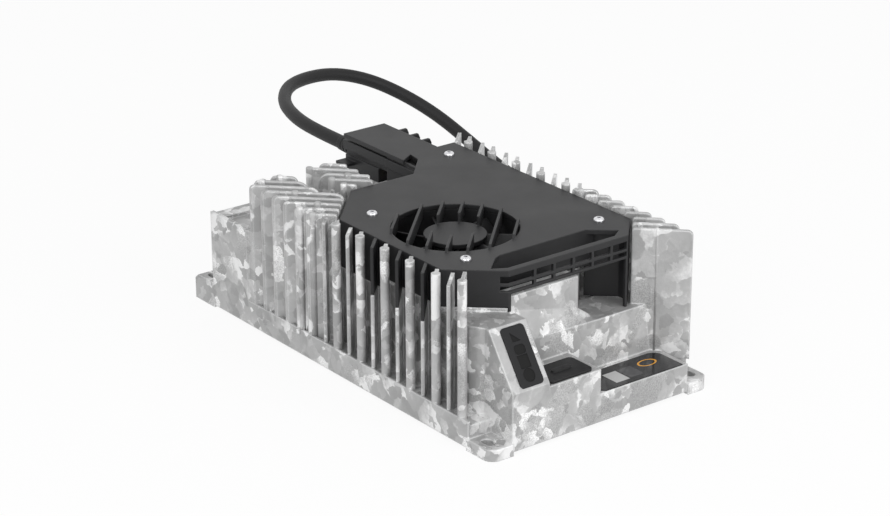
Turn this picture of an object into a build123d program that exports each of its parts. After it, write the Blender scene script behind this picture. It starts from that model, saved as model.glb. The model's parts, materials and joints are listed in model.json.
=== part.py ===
from build123d import *
import math
import os

os.makedirs("parts", exist_ok=True)

# A sealed, fan-cooled battery charger. X runs along the case towards the display end,
# -Y is the long side that shows, Z is up. The origin is the middle of the four foot slots.

# Casting: plinth, ledge, core and feet
body_length = 344.0
body_width = 189.0
half_length = body_length / 2
half_width = body_width / 2
foot_drop = 2.0
plinth_top = 18.0
ridge_height = 2.6
ridge_thickness = 2.0
ridge_rear_x = 68.0 - half_length
notch_length = 22.0
notch_width = 19.0
core_width = body_width - 40.0
core_top = 52.0
casting_wall = 3.5
rear_deck_top = 60.0
rear_step_height = 3.0
rear_step_length = 12.0
cheek_top = 74.5
cheek_thickness = 3.0
cheek_front_x = 68.0 - half_length
cheek_length = 46.0

# Foot tabs and their slots
tab_reach = 1.5
tab_height = 8.4
tab_corner = 8.0
slot_width = 7.0
slot_length = 11.0
slot_spacing_x = body_length - 22.0
slot_spacing_y = body_width - 16.0
rear_tab_reach = 9.0
rear_tab_height = 19.0
rear_tab_lip = 9.5
rear_tab_slope = 11.0

# Cooling fins, numbered from the display end: fin n lies on the line X - Y = first_fin - n * fin_pitch
fin_count = 31
first_fin = half_length + 60.7
fin_pitch = 13.8
fin_thickness = 2.5
fin_top = 110.5
fin_inset = 4.2
fin_corner = 4.0
fin_arch = 8.0
fin_rear_x = 69.0 - half_length
seat_top = 78.7
lane_near_y = -59.5
lane_far_y = -43.5
cluster_far_y = -17.5
fin_clearance = 1.2

# Side rows beside the cover: plate n lies on the line X + Y = the row's first line - n * fin_pitch
near_first_plate = half_length - 123.5
near_plate_count = 12
near_plate_reach = half_width - 1.9
far_first_plate = half_length - 40.8
far_plate_count = 11
far_plate_reach = half_width - 1.9
plate_low_top = 73.4
plate_wall_rise = 8.2
blade_top = 107.7
blade_length = 10.2
front_blade_length = 15.6
far_blade_start = 77.2
post_diameter = 6.2
near_post_inset = 3.3
post_top = 111.0
post_plate_length = 5.3
front_post_rise = 4.2
front_plate_length = 10.2
far_post_y = half_width - 14.5
far_post_plate_reach = half_width - 6.5
near_lip_step_x = 40.0
near_lip_low = 73.6
near_lip_high = 81.6

# Display end of the casting
deck_top = 79.0
deck_edge_x = half_length - 25.0
deck_inner_y = -47.0
deck_corner_x = half_length - 38.0
deck_corner_depth = 7.0
wedge_low = 42.5
wedge_far_y = -45.0
front_deck_x = half_length - 35.5
front_draft = 3.0
ramp_top = 65.5
ramp_end_y = 27.0
right_deck_top = 56.0
port_ledge_top = 40.0
port_ledge_far_y = -1.5
label_ledge_top = 22.5
block_front_x = half_length - 42.0
block_depth = 12.0
block_far_y = 13.5
block_clearance = 0.3
block_top = 88.5

# Electronics bay, closed from below
gasket_thickness = 1.0
plate_thickness = 2.0
plate_margin = 6.0
rim_width = 10.0
bay_roof = 48.0
bay_half_length = half_length - 38.0
screw_depth = 12.0
base_screw_shank = 3.9
tapped_hole = 4.0
base_screw_head = 7.5

# Fan and fan cover
cover_top = 107.8
cover_roof = 3.3
cover_wall = 2.3
cover_near_y = 14.5 - half_width
cover_far_y = half_width - 18.5
cover_front_x = half_length - 40.0
cover_waist_x = -50.0
cover_rear_x = -85.0
near_front_chamfer_x = 29.0
near_front_chamfer_y = 33.0
far_front_chamfer_x = 22.0
far_front_chamfer_y = 21.0
near_rear_chamfer_x = 40.0
near_rear_chamfer_y = 38.5
seat_gap = 0.3
fan_x = 49.6
fan_y = -27.0
fan_size = 92.0
fan_depth = 25.0
fan_bore = fan_size - 4.0
fan_opening = fan_size - 5.0
guard_disc = 43.0
guard_disc_thickness = 3.0
guard_bar_width = 1.8
guard_bar_pitch = 13.7
guard_bar_rise = 2.5
guard_bar_depth = 6.0
guard_bar_overlap = 4.0
hub_diameter = 38.0
rotor_diameter = fan_bore - 4.0
blade_count = 7
blade_thickness = 1.6
blade_height = 17.0
shaft_diameter = 5.0
shaft_clearance = 0.05
stator_diameter = 30.0

# Handle pocket and outlet grille in the cover
pocket_back_x = cover_front_x - 25.0
pocket_front_x = cover_front_x - 4.7
pocket_near_y = -40.0
pocket_far_y = 40.0
grille_low = 91.2
grille_low_bar = 1.8
grille_mid = 97.4
grille_mid_bar = 1.8
grille_top = 103.6
grille_pitch = 16.4
grille_bar = 2.0
grille_first_y = -25.0
grille_bars = 5
grille_near_y = -45.0
grille_far_y = 54.0
grille_corner = 3.8
baffle_wall = 2.2

# Neck over the cord connector
neck_rear_x = -150.5
neck_near_y = 24.0
neck_far_y = 61.0
neck_split_x = -99.7
neck_front_x = -62.0
rail_low = 95.8
rail_top = 102.7
connector_rear_x = -152.0
connector_low = 80.0
connector_side_gap = 0.5
cord_y = 42.0
cord_z = 89.0
cord_diameter = 10.4
relief_length = 26.0
relief_diameter = 14.0
relief_tip = 11.4

# Cord: its coil behind the case, and the plug beside the coil
coil_x = -90.0
coil_y = 172.0
coil_diameter = 110.0
coil_turns = 2.5
coil_tail = 40.0
coil_corner = 2.5
coil_sink = 0.5
plug_diameter = 31.2
plug_length = 46.0
plug_neck = 14.0
plug_pin = 4.8
plug_pin_length = 19.0
plug_pin_spacing = 19.0

# Base plate details
base_screw_hole = 4.4
screw_tip_gap = 1.0
gasket_inset = 3.0
seat_clearance = 0.1

# Cover details
wing_start_y = 53.5
wing_end_x = cover_front_x - 18.0
wing_end_y = cover_far_y - 3.9
recess_side_y = 62.0
baffle_corner_x = cover_front_x - 17.0
baffle_start_x = cover_front_x - 32.5
baffle_start_y = 44.5
rib_reach = 9.0
rib_thickness = 2.2
rib_gap = 0.5
cover_screw_hole = 4.4
hex_socket = 2.5
rail_step = 2.0
neck_ribs = [-133.0, -119.0, -105.0]
guard_low = 100.5

# Fan details
fan_corner = 5.0
fan_hole_pitch = fan_size - 9.5
fan_hole = 4.3
spider_height = 3.0
stator_core = 26.0
stator_height = 14.0
rotor_drop = 5.0
blade_sweep = 8.0
fan_screw_head = 7.0
fan_screw_head_height = 2.4
lead_diameter = 3.2
lead_bend = 8.0
lead_x = -8.0
lead_y = 20.0
lead_start_x = 3.7
lead_start_y = 20.0
lead_z = 84.0
grommet_diameter = 9.0
grommet_hole = 6.4
grommet_lip = 2.0

# Connector details
socket_near_y = 28.8
socket_front_x = -71.5
mouth_width = 22.0
mouth_height = 11.0
mouth_depth = 8.0
blade_spacing = 7.0
blade_reach = 10.0
blade_clearance = 0.15
lower_split_x = -111.0
groove_low = 91.0
groove_depth = 1.2
latch_z = 85.5
latch_reach = 7.0
latch_thickness = 2.2
relief_grooves = 4
relief_groove = 1.6
relief_groove_pitch = 4.2
relief_first_groove = 7.0

# Indicator panel, port and label
panel_y = -58.4
panel_width = 19.0
panel_length = 41.0
panel_corner = 3.0
panel_thickness = 0.8
sign_depth = 0.4
port_x = half_length - 13.3
port_y = -24.5
port_cover_length = 23.6
port_cover_width = 36.0
port_cover_corner = 3.5
port_cover_thickness = 1.8
port_grip_length = 16.0
port_grip_width = 4.0
port_grip_height = 1.2
port_length = 10.0
port_width = 18.0
port_corner = 2.0
port_clearance = 0.3
port_plug_depth = 1.5
port_flange = 2.0
port_hole_x = half_length - 23.0
label_rear_x = half_length - 28.5
label_front_x = half_length - 0.7
label_near_y = 0.2
label_far_y = 71.5
label_corner = 8.0
label_thickness = 0.6

# Electronics
board_length = 256.0
board_width = 139.0
board_thickness = 1.6
spacer_height = 5.0
spacer_width = 5.5
spacer_x = 120.0
spacer_y = 58.0
board_screw_shank = 2.9
board_screw_head = 5.5
board_screw_head_height = 2.2
transformer_x = 40.0
transformer_y = 14.0
transformer_length = 54.0
transformer_core_width = 20.0
transformer_height = 34.0
transformer_window = 11.0
transformer_window_pitch = 27.0
transformer_yoke = 7.0
input_choke_x = -35.0
output_choke_x = 92.0
choke_y = -24.0
choke_diameter = 42.0
choke_hole = 14.0
choke_height = 18.0
choke_round = 4.0
capacitor_x = -60.0
capacitor_y = 38.0
capacitor_diameter = 25.0
capacitor_height = 34.0
capacitor_gap = 2.0
capacitor_count = 3
filter_x = -103.0
filter_y = -20.0
filter_length = 31.0
filter_width = 14.0
filter_height = 22.0
relay_x = -104.0
relay_y = 20.0
relay_length = 28.0
relay_width = 13.0
relay_height = 16.0
fuse_x = -104.0
fuse_y = 42.0
fuse_length = 32.0
fuse_diameter = 6.3
control_x = 90.0
control_y = 20.0
control_length = 36.0
control_height = 26.0
transistor_first_x = -70.0
transistor_pitch = 24.0
transistor_count = 7
transistor_width = 15.8
transistor_depth = 5.0
transistor_height = 20.8
transistor_leg = 5.0
pad_thickness = 0.5
pad_height = 27.0
clamp_height = 10.0
clamp_thickness = 2.5

# Outlet for direct current
outlet_y = -40.0
outlet_z = 34.0
outlet_flange = 34.0
outlet_flange_thickness = 3.0
outlet_shroud = 26.0
outlet_shroud_length = 10.0
outlet_hole = 24.0
outlet_barrel = 17.0
outlet_pin = 5.0
outlet_pin_spacing = 10.0
outlet_screw_pitch = 26.0
outlet_screw_shank = 2.9
outlet_screw_head = 5.5
outlet_screw_length = 11.0

half_core = core_width / 2
fin_reach = half_width - fin_inset
roof_low = cover_top - cover_roof
cover_bottom = seat_top + seat_gap
block_near_y = grille_near_y + block_clearance
notch_x = half_length - notch_length
notch_y = half_width - notch_width
diagonal = math.sqrt(2)
plate_length = body_length - 2 * plate_margin - 2 * seat_clearance
plate_width = body_width - 2 * plate_margin - 2 * seat_clearance
plate_notch_x = notch_length + 2 * seat_clearance
plate_notch_y = notch_width + 2 * seat_clearance


def fin_line(number):
    """X - Y of the fin with this number."""
    return first_fin - number * fin_pitch


def outline(points, mode=Mode.ADD):
    """Closed face through the given corner points, in the current sketch."""
    Polygon(*points, align=None, mode=mode)


def rounded_fin(number, start_y, end_y, low, start_round, end_round):
    """One fin up to fin_top between two values of Y, with its upper corners rounded."""
    with BuildSketch(diagonal_plane(number)) as plan:
        outline([(along(number, start_y), low), (along(number, end_y), low), (along(number, end_y), fin_top),
                 (along(number, start_y), fin_top)])
        start, end = plan.vertices().group_by(Axis.Y)[-1].sort_by(Axis.X)
        fillet(start, radius=start_round)
        fillet(plan.vertices().group_by(Axis.Y)[-1].sort_by(Axis.X)[-1], radius=end_round)
    extrude(plan.sketch, amount=fin_thickness / 2, both=True)


def plate(line, profile, thickness):
    """Upright plate on the line X + Y = line, through the given (Y, Z) corner points."""
    with BuildSketch(Plane(origin=(line / 2, line / 2, 0), x_dir=(-1, 1, 0), z_dir=(1, 1, 0))) as plan:
        outline([((y - line / 2) * diagonal, z) for y, z in profile])
    extrude(plan.sketch, amount=thickness / 2, both=True)


def fins(numbers, ground, low, high):
    """Stands the fins with these numbers on the ground inside the given outline, from low to high."""
    with BuildSketch(Plane.XY.offset(low)) as plan:
        with Locations(*[(fin_line(n) / 2, -fin_line(n) / 2) for n in numbers]):
            Rectangle(4 * body_width, fin_thickness, rotation=45)
        outline(ground, mode=Mode.INTERSECT)
    extrude(plan.sketch, amount=high - low)


def diagonal_plane(number):
    """Upright plane along a fin: its x is the way along the diagonal, its y is up."""
    return Plane(origin=(fin_line(number) / 2, -fin_line(number) / 2, 0), x_dir=(1, 1, 0), z_dir=(1, -1, 0))


def along(number, y):
    """Way along the diagonal plane of a fin at which Y has the given value."""
    return (y + fin_line(number) / 2) * diagonal


cover_outline = [
    (cover_waist_x + near_rear_chamfer_x, cover_near_y),
    (cover_front_x - near_front_chamfer_x, cover_near_y),
    (cover_front_x, cover_near_y + near_front_chamfer_y),
    (cover_front_x, cover_far_y - far_front_chamfer_y),
    (cover_front_x - far_front_chamfer_x, cover_far_y),
    (cover_rear_x, cover_far_y),
    (cover_rear_x, neck_near_y + 11.7),
    (cover_rear_x + 12.5, neck_near_y + 9.8),
    (cover_waist_x, neck_near_y - 11.2),
    (cover_waist_x, cover_near_y + near_rear_chamfer_y),
]
neck_outline = [
    (cover_rear_x + 8.0, neck_near_y),
    (cover_rear_x + 1.0, neck_near_y + 11.7),
    (cover_rear_x + 1.0, neck_far_y),
    (neck_rear_x, neck_far_y),
    (neck_rear_x, neck_near_y),
]
cover_screws = [(-4.0, -57.0), (-66.0, 57.0), (99.5, -57.0), (99.5, 57.0)]
cover_screw_boss = 7.2
cover_screw_shank = 3.9
cover_screw_head = 7.6
cover_screw_head_height = 2.3
cover_screw_length = 36.0
cover_screw_tap = 16.0
near_posts = [0, 2, 4, 6, 8, 10]
near_blades = [1, 9, 11]
cover_ribs = [3, 5, 7]
rear_fins = [12, 13, 14, 15, 16]
lane_fins = [17, 18, 19]
second_cluster = [18, 19, 20, 21, 22]
far_fins = [12, 13, 14, 15, 16, 17, 18, 19]
far_posts = [0, 1, 3, 5, 7, 9]
far_blades = [2, 4, 6, 8, 10]
near_post_y = near_post_inset - half_width
near_lines = [near_first_plate - n * fin_pitch for n in range(near_plate_count)]
far_lines = [far_first_plate - n * fin_pitch for n in range(far_plate_count)]
chamfer_rise = near_rear_chamfer_y / near_rear_chamfer_x
far_chamfer_rise = far_front_chamfer_y / (far_front_chamfer_x + fin_clearance)

base_screw_pitch = (2 * bay_half_length - 8.0) / 5
base_screw_columns = [base_screw_pitch * (n - 2.5) for n in range(6)]
base_screw_spots = [(x, side * -cover_near_y) for x in base_screw_columns for side in (-1, 1)]
base_screw_spots += [(end * (half_length - 11.0), side * 35.0) for end in (-1, 1) for side in (-1, 1)]

# Heat sink housing: one casting with plinth, core, fins, posts, decks and feet
with BuildPart() as heat_sink_housing:
    with BuildSketch(Plane.XY.offset(foot_drop)):
        Rectangle(body_length, body_width)
        with GridLocations(body_length - notch_length, body_width - notch_width, 2, 2):
            Rectangle(notch_length, notch_width, mode=Mode.SUBTRACT)
    extrude(amount=plinth_top - foot_drop)
    # Ridge along the edge of the ledge
    with BuildSketch(Plane.XY.offset(plinth_top)):
        with Locations(
            ((notch_x + ridge_rear_x) / 2, -half_width + ridge_thickness / 2),
            ((notch_x + ridge_rear_x) / 2, half_width - ridge_thickness / 2),
        ):
            Rectangle(notch_x - ridge_rear_x, ridge_thickness)
    extrude(amount=ridge_height)
    # Core over the electronics
    with BuildSketch(Plane.XY.offset(plinth_top)):
        outline([(-half_length, -half_core), (front_deck_x, -half_core), (front_deck_x, half_core),
                 (-half_length, half_core)])
    extrude(amount=core_top - plinth_top)
    # Rear deck between the two cheek walls
    with BuildSketch(Plane.XY.offset(plinth_top)):
        outline([(-half_length, -notch_y), (-notch_x, -notch_y), (-notch_x, -half_width), (cheek_front_x, -half_width),
                 (cheek_front_x, half_width), (-notch_x, half_width), (-notch_x, notch_y), (-half_length, notch_y)])
    extrude(amount=rear_deck_top - plinth_top)
    with BuildSketch(Plane.XY.offset(rear_deck_top)):
        with Locations((-half_length + rear_step_length / 2, 0)):
            Rectangle(rear_step_length, 2 * notch_y)
    extrude(amount=rear_step_height)
    with BuildSketch(Plane.XY.offset(plinth_top)):
        with Locations(
            (cheek_front_x - cheek_length / 2, -half_width + cheek_thickness / 2),
            (cheek_front_x - cheek_length / 2, half_width - cheek_thickness / 2),
        ):
            Rectangle(cheek_length, cheek_thickness)
    extrude(amount=cheek_top - plinth_top)
    # Middle deck: level beside the indicator, falling towards the far side
    deck_rear_x = 104.0
    with BuildSketch(Plane.YZ.offset(deck_rear_x)):
        outline([(-half_core, plinth_top), (-half_core, deck_top), (deck_inner_y, deck_top), (block_far_y, ramp_top),
                 (ramp_end_y, right_deck_top), (notch_y, right_deck_top), (notch_y, plinth_top)])
    extrude(amount=block_front_x - deck_rear_x)
    with BuildSketch(Plane.YZ.offset(block_front_x)):
        outline([(-half_core, plinth_top), (-half_core, deck_top), (deck_inner_y, deck_top), (block_far_y, ramp_top),
                 (ramp_end_y, right_deck_top), (notch_y, right_deck_top), (notch_y, plinth_top)])
    with BuildSketch(Plane.YZ.offset(front_deck_x)):
        outline([(-half_core, plinth_top), (-half_core, deck_top), (deck_inner_y, deck_top - 10.0),
                 (port_ledge_far_y - 25.0, right_deck_top + 0.6), (ramp_end_y, right_deck_top),
                 (notch_y, right_deck_top), (notch_y, plinth_top)])
    loft(ruled=True)
    # Drafted foot of the front wall
    with BuildSketch(Plane.XZ.offset(-notch_y)):
        outline([(front_deck_x - 1, plinth_top), (front_deck_x + front_draft, plinth_top),
                 (front_deck_x, right_deck_top), (front_deck_x - 1, right_deck_top)])
    extrude(amount=notch_y - wedge_far_y)
    # Left deck with its cut corner, and the wedge that carries the indicator
    with BuildSketch(Plane.XY.offset(plinth_top)):
        outline([(deck_rear_x, -half_core), (deck_rear_x, cover_near_y - 1), (deck_corner_x, cover_near_y - 1),
                 (deck_corner_x + 11.4, cover_near_y - 1 + deck_corner_depth), (deck_edge_x, -half_core),
                 (deck_edge_x, wedge_far_y - 3), (deck_rear_x, wedge_far_y - 3)])
    extrude(amount=deck_top - plinth_top)
    with BuildSketch(Plane.XZ.offset(-wedge_far_y)):
        outline([(front_deck_x - 1, foot_drop), (half_length, foot_drop), (half_length, wedge_low),
                 (deck_edge_x, deck_top), (front_deck_x - 1, deck_top)])
    extrude(amount=notch_y + wedge_far_y)
    # Port ledge and label ledge
    with BuildSketch(Plane.XY.offset(plinth_top)):
        outline([(front_deck_x - 1, wedge_far_y - 1), (half_length, wedge_far_y - 1), (half_length, port_ledge_far_y),
                 (front_deck_x - 1, port_ledge_far_y)])
    extrude(amount=port_ledge_top - plinth_top)
    with BuildSketch(Plane.XY.offset(plinth_top)):
        outline([(front_deck_x - 1, port_ledge_far_y - 1), (half_length, port_ledge_far_y - 1), (half_length, notch_y),
                 (front_deck_x - 1, notch_y)])
    extrude(amount=label_ledge_top - plinth_top)
    # Block that closes the air duct under the grille
    with BuildSketch(Plane.XY.offset(right_deck_top)):
        outline([(block_front_x - block_depth, block_near_y), (block_front_x, block_near_y),
                 (block_front_x, block_far_y), (block_front_x - block_depth, block_far_y)])
    extrude(amount=block_top - right_deck_top)
    # Core's near side under the cover, and the lip on which the cover's near wall stands
    wall_inner_y = cover_near_y + cover_wall
    lip_start_x = cover_waist_x + near_rear_chamfer_x
    with BuildSketch(Plane.XY.offset(plinth_top - 1)):
        outline([(lip_start_x, cover_near_y), (deck_rear_x + 1, cover_near_y), (deck_rear_x + 1, 1 - half_core),
                 (lip_start_x, 1 - half_core)])
    extrude(amount=core_top - plinth_top + 1)
    with BuildSketch(Plane.XY.offset(core_top - 1)):
        outline([(lip_start_x, cover_near_y), (near_lip_step_x + 1, cover_near_y),
                 (near_lip_step_x + 1, wall_inner_y), (lip_start_x, wall_inner_y)])
    extrude(amount=near_lip_low - core_top + 1)
    with BuildSketch(Plane.XY.offset(core_top - 1)):
        outline(cover_outline)
        offset(amount=-cover_wall, kind=Kind.INTERSECTION, mode=Mode.SUBTRACT)
        outline([(near_lip_step_x, cover_near_y - 1), (cover_front_x - 0.5, cover_near_y - 1),
                 (cover_front_x - 0.5, cover_near_y + near_front_chamfer_y - 0.5),
                 (near_lip_step_x, cover_near_y + near_front_chamfer_y - 0.5)], mode=Mode.INTERSECT)
    extrude(amount=near_lip_high - core_top + 1)
    # Fins under the cover, as high as the cover's seat
    under_cover = [
        (cover_waist_x, wall_inner_y + seat_gap), (near_lip_step_x, wall_inner_y + seat_gap),
        (near_lip_step_x, wall_inner_y - 0.2), (deck_rear_x, wall_inner_y - 0.2), (deck_rear_x, deck_inner_y),
        (fan_x + fan_size / 2, deck_inner_y), (fan_x + fan_size / 2, half_core), (cover_rear_x, half_core),
        (cover_rear_x, neck_far_y + 1), (neck_front_x, neck_far_y + 1), (neck_front_x, neck_near_y + 3),
        (cover_waist_x, neck_near_y + 3), (cover_waist_x, lane_near_y),
    ]
    under_low = [(lip_start_x, wall_inner_y - 0.2), (near_lip_step_x + 1, wall_inner_y - 0.2),
                 (near_lip_step_x + 1, wall_inner_y + 1), (lip_start_x, wall_inner_y + 1)]
    fins(range(5, fin_count - 2), under_cover, core_top - 1, seat_top)
    fins(range(8, 12), under_low, core_top - 1, near_lip_low)
    # Near row: low plates against the core, tall blades and posts at their outer ends
    for number, line in enumerate(near_lines):
        wall_rise = plate_wall_rise if line - cover_near_y > near_lip_step_x else 0
        if line - cover_near_y > deck_rear_x:
            wall_rise = deck_top - plate_low_top
        plate(line, [(-near_plate_reach, plinth_top - 1), (1 + cover_near_y, plinth_top - 1),
                     (1 + cover_near_y, plate_low_top + wall_rise), (-near_plate_reach, plate_low_top)], fin_thickness)
        length = front_blade_length if number == 1 else blade_length
        if number in near_blades:
            plate(line, [(-near_plate_reach, plate_low_top - 1), (length - near_plate_reach, plate_low_top - 1),
                         (length - near_plate_reach, blade_top), (-near_plate_reach, blade_top)], fin_thickness)
        if number in near_posts:
            length = front_plate_length if number == 0 else post_plate_length
            rise = front_post_rise if number == 0 else 0
            plate(line, [(near_post_y, plate_low_top - 1), (near_post_y + length, plate_low_top - 1),
                         (near_post_y + length, post_top + rise), (near_post_y, post_top + rise)], fin_thickness)
            with BuildSketch(Plane.XY.offset(plinth_top - 1)):
                with Locations((line - near_post_y, near_post_y)):
                    Circle(post_diameter / 2)
            extrude(amount=post_top + rise - plinth_top + 1)
    # Far row: the same, mirrored, with the posts beside the cover
    for number, line in enumerate(far_lines):
        plate(line, [(half_core - 1, plinth_top - 1), (far_plate_reach, plinth_top - 1),
                     (far_plate_reach, plate_low_top), (far_blade_start, plate_low_top),
                     (far_blade_start, right_deck_top), (half_core - 1, right_deck_top)], fin_thickness)
        if number in far_blades:
            plate(line, [(far_blade_start, plate_low_top - 1), (far_plate_reach, plate_low_top - 1),
                         (far_plate_reach, blade_top), (far_blade_start, blade_top)], fin_thickness)
        if number in far_posts:
            plate(line, [(far_post_y, plate_low_top - 1), (far_post_plate_reach, plate_low_top - 1),
                         (far_post_plate_reach, post_top), (far_post_y, post_top)], fin_thickness)
            with BuildSketch(Plane.XY.offset(plinth_top - 1)):
                with Locations((line - far_post_y, far_post_y)):
                    Circle(post_diameter / 2)
            extrude(amount=post_top - plinth_top + 1)
    # Open rear cluster beside the cover's cut corner: whole fins with rounded upper corners
    for number in rear_fins + lane_fins:
        line = fin_line(number)
        start_y = max(-fin_reach, fin_rear_x - line)
        waist_y = (cover_near_y - fin_clearance + (lip_start_x - fin_clearance - line) * chamfer_rise) / (1 + chamfer_rise)
        end_y = waist_y if number in rear_fins else lane_near_y
        inner_round = fin_arch if number > 15 else fin_corner / 2
        rounded_fin(number, start_y, end_y, plinth_top - 1, fin_corner, min(inner_round, (end_y - start_y) / 3))
    # Second cluster, between the lane and the neck
    for number in second_cluster:
        line = fin_line(number)
        start_y = max(lane_far_y, fin_rear_x - line)
        end_y = min(cluster_far_y, cover_waist_x - fin_clearance - line)
        arch = fin_arch if number % 2 == 0 else fin_corner / 2
        rounded_fin(number, start_y, end_y, core_top - 1, min(arch, (end_y - start_y) / 3), fin_corner / 2)
    # Far corner: whole fins from the cover to the far side
    for number in far_fins:
        line = fin_line(number)
        chamfer_x = cover_front_x - far_front_chamfer_x + fin_clearance
        chamfer_y = (cover_far_y + fin_clearance + (chamfer_x - line) * far_chamfer_rise) / (1 + far_chamfer_rise)
        start_y = min(cover_far_y + fin_clearance, chamfer_y)
        rounded_fin(number, start_y, fin_reach, plinth_top - 1, fin_corner / 2, fin_corner)
    # Bosses for the cover screws
    with BuildSketch(Plane.XY.offset(core_top - 1)):
        with Locations(*cover_screws):
            Circle(cover_screw_boss / 2)
    extrude(amount=seat_top - core_top + 1)
    # Front tabs and rear tabs with their slots
    tab_x = notch_x + (notch_length + tab_reach) / 2
    with BuildSketch(Plane.XY) as front_tabs:
        with Locations((tab_x - 1, -half_width + notch_width / 2), (tab_x - 1, half_width - notch_width / 2)):
            Rectangle(notch_length + tab_reach + 2, notch_width)
        tips = front_tabs.vertices().group_by(Axis.X)[-1].sort_by(Axis.Y)
        fillet([tips[0], tips[-1]], radius=tab_corner)
    extrude(amount=tab_height)
    rear_tab_x = -half_length - rear_tab_reach
    for far_edge in (-notch_y, half_width):
        with BuildSketch(Plane.XZ.offset(-far_edge)):
            outline([(-notch_x + 1, 0), (-notch_x + 1, rear_tab_height),
                     (rear_tab_x + rear_tab_slope, rear_tab_height),
                     (rear_tab_x, rear_tab_lip), (rear_tab_x, 0)])
        extrude(amount=notch_width)
    with BuildSketch(Plane.XY):
        for side in (-1, 1):
            outline([(rear_tab_x - 1, side * (half_width - tab_corner)), (rear_tab_x - 1, side * (half_width + 1)),
                     (rear_tab_x + tab_corner, side * (half_width + 1)),
                     (rear_tab_x, side * (half_width - tab_corner))])
    extrude(amount=rear_tab_height + 1, mode=Mode.SUBTRACT)
    with BuildSketch(Plane.XY):
        with GridLocations(slot_spacing_x, slot_spacing_y, 2, 2):
            SlotOverall(slot_length, slot_width)
    extrude(amount=rear_tab_height + 1, mode=Mode.SUBTRACT)
    # Electronics bay and the rebate for the base plate
    rebate_top = foot_drop + plate_thickness + gasket_thickness
    with BuildSketch(Plane.XY.offset(foot_drop)):
        Rectangle(body_length - 2 * plate_margin, body_width - 2 * plate_margin)
        with GridLocations(body_length - notch_length, body_width - notch_width, 2, 2):
            Rectangle(notch_length + 2 * plate_margin, notch_width + 2 * plate_margin, mode=Mode.SUBTRACT)
    extrude(amount=rebate_top - foot_drop, mode=Mode.SUBTRACT)
    bay_half_width = half_core - casting_wall
    end_bay_x = half_length - plate_margin - rim_width
    end_bay_y = notch_y - plate_margin - rim_width
    with BuildSketch(Plane.XY.offset(rebate_top)):
        Rectangle(2 * bay_half_length, 2 * bay_half_width)
        with Locations((-(bay_half_length + end_bay_x) / 2 + 1, 0)):
            Rectangle(end_bay_x - bay_half_length + 2, 2 * end_bay_y)
    extrude(amount=bay_roof - rebate_top, mode=Mode.SUBTRACT)
    with BuildSketch(Plane.XY.offset(rebate_top)):
        outline([(bay_half_length - 1, wedge_far_y + 1), (end_bay_x, wedge_far_y + 1),
                 (end_bay_x, port_ledge_far_y - casting_wall), (bay_half_length - 1, port_ledge_far_y - casting_wall)])
    extrude(amount=port_ledge_top - casting_wall - rebate_top, mode=Mode.SUBTRACT)
    with BuildSketch(Plane.XY.offset(rebate_top)):
        outline([(bay_half_length - 1, port_ledge_far_y - casting_wall - 1), (end_bay_x, port_ledge_far_y - casting_wall - 1),
                 (end_bay_x, end_bay_y), (bay_half_length - 1, end_bay_y)])
    extrude(amount=label_ledge_top - casting_wall - rebate_top, mode=Mode.SUBTRACT)
    wedge_fall = (deck_top - wedge_low) / (half_length - deck_edge_x)
    with BuildSketch(Plane.XZ.offset(-wedge_far_y + casting_wall)):
        outline([(bay_half_length - 1, rebate_top), (end_bay_x, rebate_top),
                 (end_bay_x, deck_top - 2 * casting_wall - (end_bay_x - deck_edge_x) * wedge_fall),
                 (deck_edge_x - casting_wall, deck_top - casting_wall - 1), (bay_half_length - 1, deck_top - casting_wall - 1)])
    extrude(amount=end_bay_y + wedge_far_y - casting_wall, mode=Mode.SUBTRACT)
    # Tapped holes for the base screws and the cover screws
    with BuildSketch(Plane.XY.offset(rebate_top)):
        with Locations(*base_screw_spots):
            Circle(tapped_hole / 2)
    extrude(amount=screw_depth - plate_thickness, mode=Mode.SUBTRACT)
    with BuildSketch(Plane.XY.offset(seat_top)):
        with Locations(*cover_screws):
            Circle(tapped_hole / 2)
    extrude(amount=-cover_screw_tap, mode=Mode.SUBTRACT)
    # Holes for the service port, the fan lead and the outlet
    with BuildSketch(Plane.XY.offset(port_ledge_top)):
        with Locations((port_hole_x, port_y)):
            RectangleRounded(port_length, port_width, port_corner)
    extrude(amount=-casting_wall - 1, mode=Mode.SUBTRACT)
    with BuildSketch(Plane.XY.offset(core_top)):
        with Locations((lead_x, lead_y)):
            Circle(grommet_hole / 2)
            Circle(grommet_diameter / 2 + 1)
    extrude(amount=seat_top - core_top + 1, mode=Mode.SUBTRACT)
    with BuildSketch(Plane.XY.offset(core_top)):
        with Locations((lead_x, lead_y)):
            Circle(grommet_hole / 2)
    extrude(amount=-casting_wall - 1, mode=Mode.SUBTRACT)
    with BuildSketch(Plane((-half_length, outlet_y, outlet_z), x_dir=(0, -1, 0), z_dir=(-1, 0, 0))) as outlet_plan:
        Circle(outlet_hole / 2)
    extrude(amount=-(half_length - end_bay_x + 1), mode=Mode.SUBTRACT)
    with BuildSketch(Plane((-half_length, outlet_y, outlet_z), x_dir=(0, -1, 0), z_dir=(-1, 0, 0))):
        with GridLocations(outlet_screw_pitch, outlet_screw_pitch, 2, 2):
            Circle(outlet_screw_shank / 2 + 0.05)
    extrude(amount=-outlet_screw_length, mode=Mode.SUBTRACT)
heat_sink_housing.part.label = "heat_sink_housing"
export_step(heat_sink_housing.part, "parts/heat_sink_housing.step")

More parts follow.
